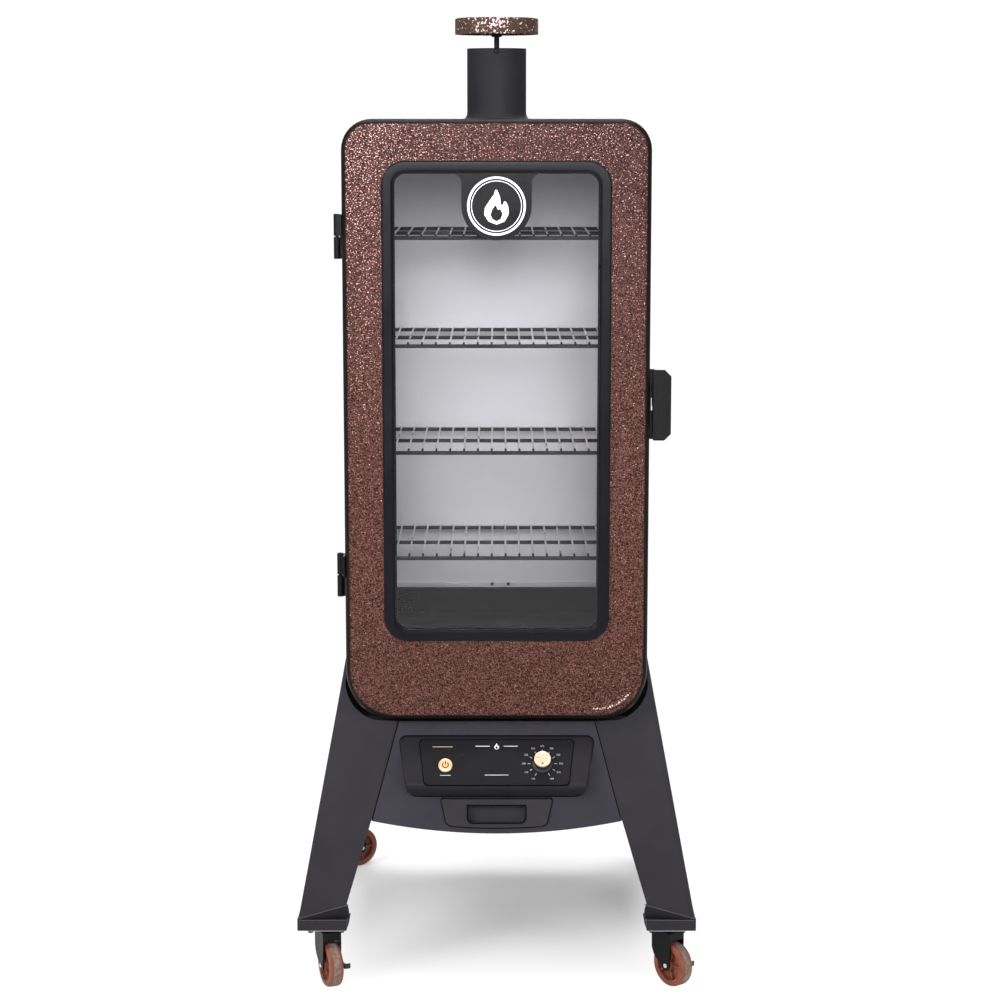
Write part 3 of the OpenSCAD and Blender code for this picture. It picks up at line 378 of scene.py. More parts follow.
class Solid:
    """A mesh gathered from closed parts, each bevelled on its own."""

    def __init__(self):
        self.bm = bmesh.new()

    def add(self, verts, faces, bevel=0.0, segments=2, place=None, paint=0, mirror=None, cut=None):
        """A cut is a plane of point and normal: what lies in front of it goes, and the opening is closed."""
        part = bmesh.new()
        made = [part.verts.new(v) for v in verts]
        for face in faces:
            part.faces.new([made[i] for i in face])
        bmesh.ops.recalc_face_normals(part, faces=part.faces)
        if cut:
            everything = part.verts[:] + part.edges[:] + part.faces[:]
            bmesh.ops.bisect_plane(part, geom=everything, dist=1e-4, plane_co=cut[0], plane_no=cut[1],
                clear_outer=True)
            bmesh.ops.holes_fill(part, edges=part.edges, sides=0)
        if bevel:
            limit = radians(30)
            sharp = [e for e in part.edges if len(e.link_faces) == 2 and e.calc_face_angle(0) > limit]
            bmesh.ops.bevel(part, geom=sharp, offset=bevel, segments=segments, profile=0.5, affect="EDGES",
                clamp_overlap=True)
        if place is not None:
            part.transform(place)
        if mirror is not None:
            part.transform(mirror)
        self.absorb(part, paint)

    def absorb(self, part, paint=0):
        bmesh.ops.remove_doubles(part, verts=part.verts, dist=0.002)
        bmesh.ops.recalc_face_normals(part, faces=part.faces)
        for face in part.faces:
            face.material_index = paint
        scratch = bpy.data.meshes.new("scratch")
        part.to_mesh(scratch)
        part.free()
        self.bm.from_mesh(scratch)
        bpy.data.meshes.remove(scratch)

    def hull(self, points, bevel=0.0, mirror=None, paint=0):
        """Convex solid round the points."""
        part = bmesh.new()
        for point in points:
            part.verts.new(point)
        bmesh.ops.convex_hull(part, input=part.verts)
        bmesh.ops.dissolve_limit(part, angle_limit=0.02, verts=part.verts, edges=part.edges)
        if bevel:
            bmesh.ops.bevel(part, geom=part.edges[:], offset=bevel, segments=2, profile=0.5, affect="EDGES",
                clamp_overlap=True)
        if mirror is not None:
            part.transform(mirror)
        self.absorb(part, paint)

    def rings(self, rings, closed=False, **more):
        """Skin over rings of equal length. A closed profile meets itself; an open one is capped."""
        n = len(rings[0])
        verts = [p for ring in rings for p in ring]
        faces = []
        for k in range(len(rings) if closed else len(rings) - 1):
            a, b = k*n, ((k + 1) % len(rings))*n
            faces += [(a + i, a + (i + 1) % n, b + (i + 1) % n, b + i) for i in range(n)]
        if not closed:
            faces += [tuple(range(n)), tuple(range(len(verts) - n, len(verts)))]
        self.add(verts, faces, **more)

    def prism(self, outline, low, high, **more):
        """Outline in local X and Y, from low to high along local Z."""
        self.rings([[(x, y, low) for x, y in outline], [(x, y, high) for x, y in outline]], **more)

    def slab(self, outline, y0, y1, **more):
        """Front-view outline from y0 back to y1."""
        self.rings([[(x, y0, z) for x, z in outline], [(x, y1, z) for x, z in outline]], **more)

    def frame(self, sections, **more):
        """Closed ring whose profile is a list of (outline, y)."""
        self.rings([[(x, y, z) for x, z in outline] for outline, y in sections], closed=True, **more)

    def box(self, low, high, bevel=0.5, **more):
        (x0, y0, z0), (x1, y1, z1) = low, high
        self.prism([(x0, y0), (x1, y0), (x1, y1), (x0, y1)], z0, z1, bevel=bevel, **more)

    def lathe(self, profile, steps=48, place=None, closed=False, **more):
        """Profile of (radius, height) turned about local Z."""
        rings = []
        for r, h in profile:
            rings.append([(max(r, 0.01)*cos(2*pi*i/steps), max(r, 0.01)*sin(2*pi*i/steps), h)
                for i in range(steps)])
        self.rings(rings, closed=closed, place=place, **more)

    def tube(self, path, radius, sides=12, **more):
        """Round rod along a path of points."""
        points = [Vector(p) for p in path]
        rings = []
        side = None
        for i, p in enumerate(points):
            ahead = (points[min(i + 1, len(points) - 1)] - points[max(i - 1, 0)]).normalized()
            if side is None:
                side = ahead.orthogonal().normalized()
            side = (side - ahead*side.dot(ahead)).normalized()
            up = ahead.cross(side)
            rings.append([tuple(p + radius*(side*cos(2*pi*k/sides) + up*sin(2*pi*k/sides)))
                for k in range(sides)])
        self.rings(rings, **more)

    def plate(self, outlines, low, high, bevel=0.4, place=None, mirror=None, paint=0, segments=1):
        """Flat plate with holes: the first outline is its edge and the others its holes, in local X and Y."""
        curve = bpy.data.curves.new("plate", "CURVE")
        curve.dimensions = "2D"
        curve.fill_mode = "BOTH"
        curve.extrude = (high - low)/2 - bevel
        curve.bevel_depth = bevel
        curve.bevel_resolution = segments
        curve.offset = -bevel
        for outline in outlines:
            spline = curve.splines.new("POLY")
            spline.points.add(len(outline) - 1)
            for point, (x, y) in zip(spline.points, outline):
                point.co = (x, y, 0, 1)
            spline.use_cyclic_u = True
        part = filled(curve)
        part.transform(Matrix.Translation((0, 0, (low + high)/2)))
        for matrix in (place, mirror):
            if matrix is not None:
                part.transform(matrix)
        self.absorb(part, paint)

    def make(self, name, looks, body, nodes=(), angle=40):
        """Turns the parts into one piece that rides on a body and stands for its nodes."""
        bmesh.ops.scale(self.bm, vec=(MM, MM, MM), verts=self.bm.verts)
        mesh = bpy.data.meshes.new(name)
        self.bm.to_mesh(mesh)
        self.bm.free()
        mesh.shade_smooth()
        mesh.set_sharp_from_angle(angle=radians(angle))
        piece = bpy.data.objects.new(name, mesh)
        scene.collection.objects.link(piece)
        for look in looks if isinstance(looks, (list, tuple)) else [looks]:
            mesh.materials.append(look.mat)
        even = piece.modifiers.new("even_normals", "WEIGHTED_NORMAL")
        even.keep_sharp = True
        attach(piece, body)
        if nodes:
            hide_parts(*nodes)
        return piece


def dress(node, look, bevel):
    """Gives a CAD node its material, and soft edges where bevel says how wide."""
    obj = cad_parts[node]
    for place in obj.material_slots:
        place.link = "OBJECT"
        place.material = look.mat
    if bevel:
        weld = obj.modifiers.new("weld", "WELD")
        weld.merge_threshold = 1e-5
        soft = obj.modifiers.new("soft_edges", "BEVEL")
        soft.width = bevel*MM
        soft.segments = 2
        soft.limit_method = "ANGLE"
        soft.angle_limit = radians(35)
        soft.use_clamp_overlap = True
        soft.harden_normals = False
        even = obj.modifiers.new("even_normals", "WEIGHTED_NORMAL")
        even.keep_sharp = True


FLIP_X = Matrix.Diagonal((-1, 1, 1, 1))
FLIP_Y = Matrix.Diagonal((1, -1, 1, 1))


def corners(pair=False):
    """Mirrors that carry the front right corner to each corner, or only to the left."""
    yield None
    yield FLIP_X
    if not pair:
        yield FLIP_Y
        yield FLIP_X @ FLIP_Y


# ---- Slopes: how far out each stands at a height, and heights measured along it ----

def front_y(z):
    return -FRONT_OUT - (FRONT_TOP - z)*tan(FRONT_LEAN)


def side_x(z):
    return SIDE_OUT + (SIDE_TOP - z)*tan(SIDE_LEAN)


def face_y(z):
    return front_y(FACE_TOP) - 1.5 - (FACE_TOP - z)*tan(FACE_LEAN)


def up_front(z):
    return (z - FRONT_TOP)/cos(FRONT_LEAN)


def up_side(z):
    return (z - SIDE_TOP)/cos(SIDE_LEAN)


def up_face(z):
    return (z - FACE_TOP)/cos(FACE_LEAN)


on_front = axes((0, -FRONT_OUT, FRONT_TOP), (1, 0, 0), (0, sin(FRONT_LEAN), cos(FRONT_LEAN)))
on_side = axes((SIDE_OUT, 0, SIDE_TOP), (0, 1, 0), (-sin(SIDE_LEAN), 0, cos(SIDE_LEAN)))
on_face = axes((0, face_y(FACE_TOP), FACE_TOP), (1, 0, 0), (0, sin(FACE_LEAN), cos(FACE_LEAN)))


def lerp(value, table):
    """Straight lines through (value, result) pairs."""
    for (a, ra), (b, rb) in zip(table, table[1:]):
        if value <= b:
            return ra + (rb - ra)*max(0.0, (value - a)/(b - a))
    return table[-1][1]


# ---- Cabinet ----

def body(inset=0.0):
    return panel(*SHELL, 30, 60, inset)


def room(inset=0.0):
    return panel(*ROOM, 10, 10, inset)


def cabinet():
    shell = Solid()
    front, seam, back = SHELL_FRONT, 120.5, SHELL_BACK
    shell.frame([(room(), front + 1.5), (room(), front + 0.4), (room(-0.4), front), (body(2.0), front),
        (body(0.6), front + 0.5), (body(), front + 2), (body(), seam - 2.5), (body(1.0), seam - 1),
        (body(1.0), seam + 1), (body(), seam + 2.5), (body(), back - 1.5), (body(0.5), back),
        (body(1.5), back),
        (body(1.5), front + 1.5)])
    shell.box((249.8, -266, LATCH.z - 11), (256, -254, LATCH.z + 11), bevel=1.2)
    shell.make("cabinet_shell", black, "cabinet", ["outer_shell"])

    cover = Solid()
    cover.slab(body(0.4), SHELL_BACK + 0.1, COVER_BACK, bevel=0.4)
    bead = ((0, -0.1), (1.2, 1.1), (3, 1.5), (4.8, 1.1), (6, -0.1))
    cover.frame([(panel(196 - inset, 900 + inset, 1400 - inset, 24 - inset, 24 - inset), COVER_BACK + proud)
        for inset, proud in bead])
    cover.make("back_cover", black, "cabinet", ["rear_panel"])


def fasteners():
    """Pan head screws and hex bolts."""
    heads = Solid()

    def pan_head(place, size=4.0):
        heads.lathe([(size*0.2, 1.1), (size*0.5, 1.1), (size*0.55, 2.3), (size*0.8, 2.1), (size, 1.2),
            (size, 0)],
            20, place)
        heads.box((-size*0.45, -0.4, 1.0), (size*0.45, 0.4, 1.6), bevel=0, place=place)

    pipe_radius, strap_z = 50.6, 1576.5
    for k in range(3):
        a = radians(-90 + 120*k)
        out = Vector((cos(a), sin(a), 0))
        spot = (pipe_radius*out.x, STACK_Y + pipe_radius*out.y, strap_z)
        pan_head(axes(spot, (-out.y, out.x, 0), (0, 0, 1)), 4.8)
    for middle in HINGE_HEIGHTS:
        for below in (12, 28):
            pan_head(axes((-255.4, -249, middle - below), (0, -1, 0), (0, 0, 1)))
    for x in (-238, 238):
        for z in range(920, 1401, 120):
            pan_head(axes((x, COVER_BACK - 0.1, z), (-1, 0, 0), (0, 0, 1)))
    for x in (-CASTER_X, CASTER_X):
        for y in (-CASTER_Y, CASTER_Y):
            for i in (-26, 26):
                for j in (-26, 26):
                    bolt = Matrix.Translation((x + i, y + j, 97.5))
                    heads.prism(circle(0, 0, 5, 6), 0, 3.5, bevel=0.6, place=bolt)
    heads.make("fasteners", fork_black, "cabinet", ["screws"])


def plain_nodes():
    """Nodes that keep their CAD shape: name, look and edge width."""
    for node, look, bevel in (
            ("inner_liner", liner, 0), ("insulation", wool, 0), ("rack_rails", liner, 0.3),
            ("heat_deflector", enamel, 0.4), ("burn_pot", iron, 0.6), ("igniter_rod", zinc, 0.4),
            ("temperature_probe", silver, 0.4), ("auger_tube", zinc, 0), ("auger_motor", motor_grey, 1.2),
            ("auger_screw", zinc, 0), ("fan_housing", plastic, 0.8), ("fan_impeller", plastic, 0.3),
            ("base_deck", black, 0.6), ("base_floor", black, 0.3), ("control_board", board, 0.3),
            ("status_lamp", lamp, 0), ("power_inlet", plastic, 0.5), ("hinge_brackets", fork_black, 0.5),
            ("hinge_leaves", fork_black, 0.5), ("latch_bracket", fork_black, 0.4),
            ("stack_bracket", fork_black, 0.4), ("cap_nut", fork_black, 0.4), ("pellet_hopper", black, 0.8),
            ("hopper_lid", black, 0.8)):
        dress(node, look, bevel)


def rivets():
    """Two rivets on the chamber's rear ledge."""
    dots = Solid()
    for x in (-9, 21):
        dots.lathe([(0.6, 1.4), (2.2, 1.4), (3.0, 0.8), (3.2, 0)], 16,
            axes((x, 117, 609), (1, 0, 0), (0, 0, 1)))
    dots.make("lip_rivets", bar, "cabinet")


def racks():
    for level in range(RACKS):
        z = RACK_LOW + RACK_STEP*level
        rack = Solid()
        for k in range(3):
            y = -219 + 153.5*k
            rack.tube([(x, y, z) for x in (-218, -217.4, 217.4, 218)], 3.3, 14, bevel=0.4, paint=1)
        for side in (-1, 1):
            rack.tube([(side*214, -222, z), (side*214, 91, z)], 2.9, 14, bevel=0.5, paint=1)
        wire_z = z + 4.1
        for i in range(WIRES):
            x = (i - (WIRES - 1)/2)*WIRE_PITCH + WIRE_SHIFT
            rack.tube([(x, 96, wire_z), (x, 30, wire_z), (x, -203, wire_z)], 1.6, 10, bevel=0.3)
            # The front bend of each wire is painted in the bars' black: painted shade.
            bend = [(x, -212 - 4*sin(radians(a)), wire_z - 4*(1 - cos(radians(a))))
                for a in range(0, 91, 15)]
            rack.tube([(x, -202, wire_z)] + bend + [(x, -216, z - 1)], 1.9, 10, bevel=0.3, paint=1)
        name = "rack_%d" % (level + 1)
        rack.make("wire_" + name, [wire, bar], name, [name])


def pan():
    outer = lambda grow: panel(216 + grow, -222 - grow, 118 + grow, 6, 6, steps=6)
    inner = lambda inset: panel(204 - inset, -214 + inset, 110 - inset, 12, 12, steps=6)
    floor, rim = 560, 603
    tray = Solid()
    tray.rings([[(x, y, z) for x, y in outline] for outline, z in (
        (inner(6), floor - 0.4), (inner(2), floor + 1), (inner(1.5), rim - 5), (inner(0.3), rim - 0.8),
        (inner(-1.5), rim), (outer(-0.8), rim), (outer(0), rim - 0.8), (outer(0), rim - 1.4),
        (inner(-0.8), rim - 1.5), (inner(0), rim - 5), (inner(0.5), floor), (inner(5), floor - 1.9))])
    tray.make("drip_pan", enamel, "pan", ["water_pan"])


# ---- Door ----

def door_edge(inset=0.0):
    return panel(*DOOR, 50, 82, inset)


def window(grow=0.0):
    return panel(*WINDOW, 20, 20, -grow)


def door():
    skin = Solid()
    roll = [(door_edge(), DOOR_BACK - 2.5), (door_edge(), DOOR_ROLL)]
    for a in range(10, 91, 10):
        s, c = sin(radians(a)), cos(radians(a))
        roll.append((door_edge(12*(1 - c)), DOOR_ROLL - 12.4*s))
    roll += [(door_edge(inset), DOOR_FACE + deep) for inset, deep in ((14.5, 0.9), (17, 0.4), (20, 0))]
    inside = [(window(11.6), DOOR_FACE), (window(11), DOOR_FACE + 0.4), (window(11), DOOR_FACE + 1.5),
        (door_edge(20), DOOR_FACE + 1.5), (door_edge(12), DOOR_FACE + 2.5), (door_edge(1.5), DOOR_ROLL),
        (door_edge(1.5), DOOR_BACK - 1.5), (door_edge(0.3), DOOR_BACK - 1.5)]
    skin.frame(roll + inside)
    skin.make("door_skin_rolled", copper, "door", ["door_skin"], angle=50)

    back = Solid()
    back.plate([door_edge(0.4), window(14)], 0, 1.5, 0.4, axes((0, DOOR_BACK, 0), (1, 0, 0), (0, 0, 1)))
    back.frame([(window(14), DOOR_BACK - 0.6), (window(14), DOOR_FACE + 2), (window(15.5), DOOR_FACE + 2),
        (window(15.5), DOOR_BACK - 0.6)])
    back.make("door_back", liner, "door", ["door_liner"])

    filling = Solid()
    filling.frame([(door_edge(2.2), DOOR_BACK - 2.2), (door_edge(2.2), DOOR_ROLL + 2),
        (door_edge(6), DOOR_ROLL - 6),
        (door_edge(15), DOOR_FACE + 2.6), (window(16.5), DOOR_FACE + 2.6), (window(16.5), DOOR_BACK - 2.2)])
    filling.make("door_wool", wool, "door", ["door_insulation"])

    ring = Solid()
    ring.frame([(window(grow), DOOR_FACE - proud) for grow, proud in (
        (19.5, -0.1), (19.5, 1.6), (18.9, 2.7), (17.6, 3.6), (16.2, 4), (5.5, 4), (4.0, 3.7), (2.6, 2.6),
        (1.6, 1.6),
        (0.9, 1.3), (0.2, 0.6), (0, -0.4), (0, -2.9), (10, -2.9), (10, -0.1))])
    ring.make("window_ring", trim_black, "door", ["window_trim"], angle=25)

    pane = Solid()
    pane.slab(window(10), PANE_FRONT, PANE_BACK, bevel=0.3)
    pane.make("window_pane", glass, "door", ["window_glass"])

    clamp = Solid()
    clamp.frame([(window(grow), PANE_BACK + deep) for grow, deep in (
        (14, 0.1), (14, 3.8), (13, 4), (-1, 4), (-2, 3.6), (-2, 0.1))])
    clamp.make("pane_clamp", trim_black, "door", ["glass_retainer"])

    seal = Solid()
    seal.frame([(room(-grow), DOOR_BACK + proud) for grow, proud in (
        (5, 0), (5.5, 2), (7.5, 3.4), (10.5, 3.7), (13.5, 3.4), (15.5, 2), (16, 0))])
    seal.make("door_rope", rope, "door", ["door_gasket"], angle=60)


FLAME = [(0, -30), (13, -25), (20, -13), (19, 0), (13, 11), (11, 3), (7, 0), (6, 14), (-1, 31), (-4, 19),
    (-12, 8),
    (-19, -3), (-20, -14), (-13, -25)]
FLAME_CORE = [(0, -25), (7, -21), (10, -13), (6, -3), (2, -8), (-1, 4), (-7, -5), (-10, -14), (-7, -21)]


def flame(solid, x, y, size, low, high, place):
    """Plain flame with an open core."""
    shapes = [[(x + size*px, y + size*py) for px, py in fillet(shape, 2.0, 4)]
        for shape in (FLAME, FLAME_CORE)]
    solid.plate(shapes, low, high, 0.02, place)


def badge():
    """Printed area at the window's top, with a plain ring and a flame."""
    facing = axes((0, PANE_FRONT, 0), (1, 0, 0), (0, 0, 1))
    middle, radius, half, top = 1323, 56, 57.5, 1380
    side, band, shoulder = 168.9, 1375.5, 14
    drop = [(-side, top), (-side, band), (-half - shoulder, band)]
    for a in range(15, 91, 15):
        s, c = sin(radians(a)), cos(radians(a))
        drop.append((-half - shoulder + shoulder*s, band - shoulder + shoulder*c))
    drop.append((-half, middle + 6))
    drop += [(half*cos(radians(a)), middle + radius*sin(radians(a))) for a in range(186, 270, 7)]
    right = [(-x, z) for x, z in reversed(drop)]
    mask = Solid()
    mask.prism(drop + right, 0.05, 0.2, place=facing)
    mask.make("window_print", trim_black, "door")

    mark = Solid()
    for outer, inner in ((48, 44.5), (41.5, 40.4)):
        mark.plate([circle(0, middle, outer, 64), circle(0, middle, inner, 64)], 0.25, 0.4, 0.02, facing)
    flame(mark, 0, middle, 1.0, 0.25, 0.4, facing)
    mark.make("window_mark", label_white, "door")


def handle():
    backer = Solid()
    for side in (-1, 1):
        middle = LATCH.z + side*34.5
        backer.box((253.8, -302, middle - 24), (262.5, -297, middle + 24), bevel=0.6)
    backer.make("latch_backer", fork_black, "door")

    grip = Solid()
    at = Matrix.Translation(LATCH)
    grip.lathe([(3.1, -34), (4.4, -34.2), (5, -33.6), (5, 33.6), (4.4, 34.2), (3.1, 34)], 24, at, closed=True)
    grip.box((-4, -6.5, -34), (4, -1.5, 34), bevel=1.0, place=at)
    paddle = [(-4, -59), (15, -59), (26, -48), (26, 48), (15, 59), (-4, 59)]
    facing = axes(LATCH, (1, 0, 0), (0, 0, 1))
    grip.prism(fillet(paddle, [2, 3, 3, 3, 3, 2], 4), 5, 9.5, bevel=1.3, segments=3, place=facing)
    grip.prism(fillet([(1, -46), (13, -46), (20, -39), (20, 39), (13, 46), (1, 46)], 3, 4), 9.3, 10.1,
        bevel=0.5,
        place=facing)
    grip.box((-3, 0, -8), (1, 50, 8), bevel=1.0, place=at)
    grip.make("latch_paddle", fork_black, "latch", ["latch_handle"])


# ---- Stack ----

def stack():
    at = Matrix.Translation((0, STACK_Y, 0))
    pipe = Solid()
    pipe.lathe([(49.3, 1431), (49.3, 1580), (49.8, 1581.2), (50.4, 1581.5), (51.0, 1581), (50.8, 1579.5),
        (50.8, 1474),
        (51.3, 1469.5), (52.8, 1466), (55.4, 1463.2), (58.2, 1461.6), (59, 1460.6), (59, 1458.2),
        (50.8, 1458.2),
        (50.8, 1431)], 96, at, closed=True)
    pipe.make("stack_tube", black, "cabinet", ["stack_pipe"], angle=35)

    cap = Solid()
    cap.lathe([(0, 1628.6), (5.3, 1628.6), (5.3, 1609), (9, 1609), (9, 1630.4), (67, 1630.2), (69.3, 1628.6),
        (69.5, 1605.4), (70.4, 1605), (71.4, 1605.8), (71.4, 1630), (70.9, 1631.6), (69.6, 1632.5),
        (64, 1633.1),
        (30, 1633.7), (0, 1634)], 96, at)
    cap.make("rain_cap", cap_copper, "cap", ["stack_cap"], angle=50)


# ---- Stand ----

def leg_section(z):
    """L-shaped section of the front right leg at height z, outer side first."""
    x_out = side_x(z)
    y_out = lerp(z, [(122, -362.4), (132, front_y(132)), (FRONT_TOP, -FRONT_OUT),
        (SIDE_SKIRT_TOP, -272.9)])
    x_in = lerp(z, [(122, 254), (150, 254), (SKIRT_CORNER, 213.3), (SKIRT_TOP, 168.8)])
    if z > SKIRT_TOP:
        arc_x, arc_z, arc_radius = 190.7, 515, 67
        x_in = arc_x + sqrt(arc_radius**2 - max(0.0, arc_z - z)**2) - 7*max(0.0, z - arc_z)/60
    y_in = lerp(z, [(122, -277), (150, -277), (SKIRT_CORNER, -208.3), (SKIRT_TOP, -170.3)])
    t, r = 2.5, min(5.0, (x_out - x_in)*0.6)
    outer = [(x_in, y_out)]
    inner = [(x_in, y_out + t)]
    for k in range(7):
        a = radians(-90 + 15*k)
        outer.append((x_out - r + r*cos(a), y_out + r + r*sin(a)))
        inner.append((x_out - r + max(r - t, 0.2)*cos(a), y_out + r + max(r - t, 0.2)*sin(a)))
    outer.append((x_out, y_in))
    inner.append((x_out - t, y_in))
    return [(x, y, z) for x, y in outer + inner[::-1]]


def stand():
    legs = Solid()
    foot_top, foot_low, foot_front, foot_back, foot_side = 122.6, 104, -362, -277, 337.8
    crease = [Vector((253.5, front_y(148), 148)), Vector((337.6, -362.6, 125.5)),
        Vector((250.5, -350.0, foot_top))]
    facing = (crease[1] - crease[0]).cross(crease[2] - crease[0]).normalized()
    if facing.y > 0:
        facing.negate()
    for mirror in corners():
        levels = [foot_top, 132, 141, 150, 195, 240, SKIRT_CORNER, 326, 367, 408, SKIRT_TOP]
        if mirror in (None, FLIP_X):
            levels += [451, 455, 459, 463, 468, 474, 482, 492, 503, 515, 545, SIDE_SKIRT_TOP]
        legs.rings([leg_section(z) for z in levels], mirror=mirror, cut=(crease[0], facing))
        # The facet hull takes the darker charcoal: painted shade.
        facet = [(253.5, 148), (337.6, 125.5), (337.6, 122), (250.5, 122), (251.2, 138)]
        on_facet = [(x, crease[0].y - ((x - crease[0].x)*facing.x + (z - crease[0].z)*facing.z)/facing.y, z)
            for x, z in facet]
        legs.hull([(x, y - 0.15, z) for x, y, z in on_facet] + [(x, y + 8, z) for x, y, z in on_facet],
            mirror=mirror,
            paint=1)
        # Thin light lines along the crease and the foot's bend: painted highlights.
        legs.tube([crease[0] + Vector((-3, -0.1, 0.8)), crease[0].lerp(crease[1], 0.5), crease[1]], 0.65, 8,
            mirror=mirror,
            paint=2)
        legs.tube([(252, -361.6, 122.9), (294, -361.8, 122.9), (335, -362.0, 122.9)], 0.65, 8, mirror=mirror,
            paint=2)
        edge = [(foot_side, foot_front, foot_top), (254.5, foot_front, foot_top), (252.5, -322, foot_top),
            (252.5, foot_back, foot_low + 2.5), (foot_side, foot_back, foot_top)]
        legs.hull(edge + [(x, y, foot_low) for x, y, z in edge], bevel=1.0, mirror=mirror)
    legs.make("stand_legs", [charcoal, facet_shade_grey, fold_highlight_grey], "cabinet", ["legs"],
        angle=24)

    skirts = Solid()

    def arc(half, up, z_side, z_mid, steps=28):
        rise = up(z_side) - up(z_mid)
        radius = (half*half + rise*rise)/(2*rise)
        xs = [half - 2*half*i/steps for i in range(steps + 1)]
        return [(x, up(z_mid) + radius - sqrt(radius*radius - x*x)) for x in xs]

    front = [(-168, up_front(SKIRT_TOP)), (168, up_front(SKIRT_TOP))]
    front += arc(212.6, up_front, SKIRT_CORNER, SKIRT_MIDDLE)
    slot = [(-78.5, up_front(317)), (78.5, up_front(317)), (78.5, up_front(276.5)), (-78.5, up_front(276.5))]
    skirts.plate([front, slot], -2.5, 0, 0.7, on_front)
    sill = up_front(390)
    inlet = [(-150, sill), (-102, sill), (-102, sill + 28), (-150, sill + 28)]
    skirts.plate([front, inlet], -2.5, 0, 0.7, on_front, FLIP_Y)
    side = [(-169.2, up_side(SKIRT_TOP)), (-169.2, up_side(SIDE_SKIRT_TOP)), (150, up_side(SIDE_SKIRT_TOP)),
        (169.2, up_side(SKIRT_TOP))]
    side += arc(207.2, up_side, SKIRT_CORNER, SKIRT_MIDDLE)
    for mirror in corners(True):
        skirts.plate([side], -2.5, 0, 0.7, on_side, mirror)
    top_z, low_z = SKIRT_TOP - 2, SKIRT_CORNER + 2
    strip = lambda top, low, up: [(top - 7, up(top_z)), (top + 7, up(top_z)), (low + 7, up(low_z)),
        (low - 7, up(low_z))]
    for mirror in corners():
        skirts.plate([strip(169, 213, up_front)], -3.7, -2.5, 0.2, on_front, mirror)
        skirts.plate([strip(170, 208, up_side)], -3.7, -2.5, 0.2, on_side, mirror)
    skirts.make("stand_skirts", apron_grey, "cabinet", ["aprons"])


# ---- Controls ----

def housing_outline(inset):
    """Right half of the control housing's outline, from bottom centre to top centre."""
    lean = 17/98
    low, high = HOUSING_LOW + inset, FACE_TOP - inset
    at = lambda z: 149.5 + (z - HOUSING_LOW)*lean - inset*hypot(1, lean)
    line = fillet([(0, low), (at(low), low), (at(high), high), (0, high)], [0, 18 - inset, 11 - inset, 0], 6)
    return line[:8] + [(at(z), z) for z in (343, 345.5, 348, 350, 352, 354.5, 357)] + line[8:]


def housing_reach(z):
    """How far forward the housing's face stands at height z, rounded over its nose."""
    high = -face_y(z)
    nose = 350
    slope = (-face_y(nose) - 3 + front_y(HOUSING_LOW))/(nose - HOUSING_LOW)
    low = 3 - front_y(HOUSING_LOW) + (z - HOUSING_LOW)*slope
    return (high + low - hypot(high - low, 6))/2


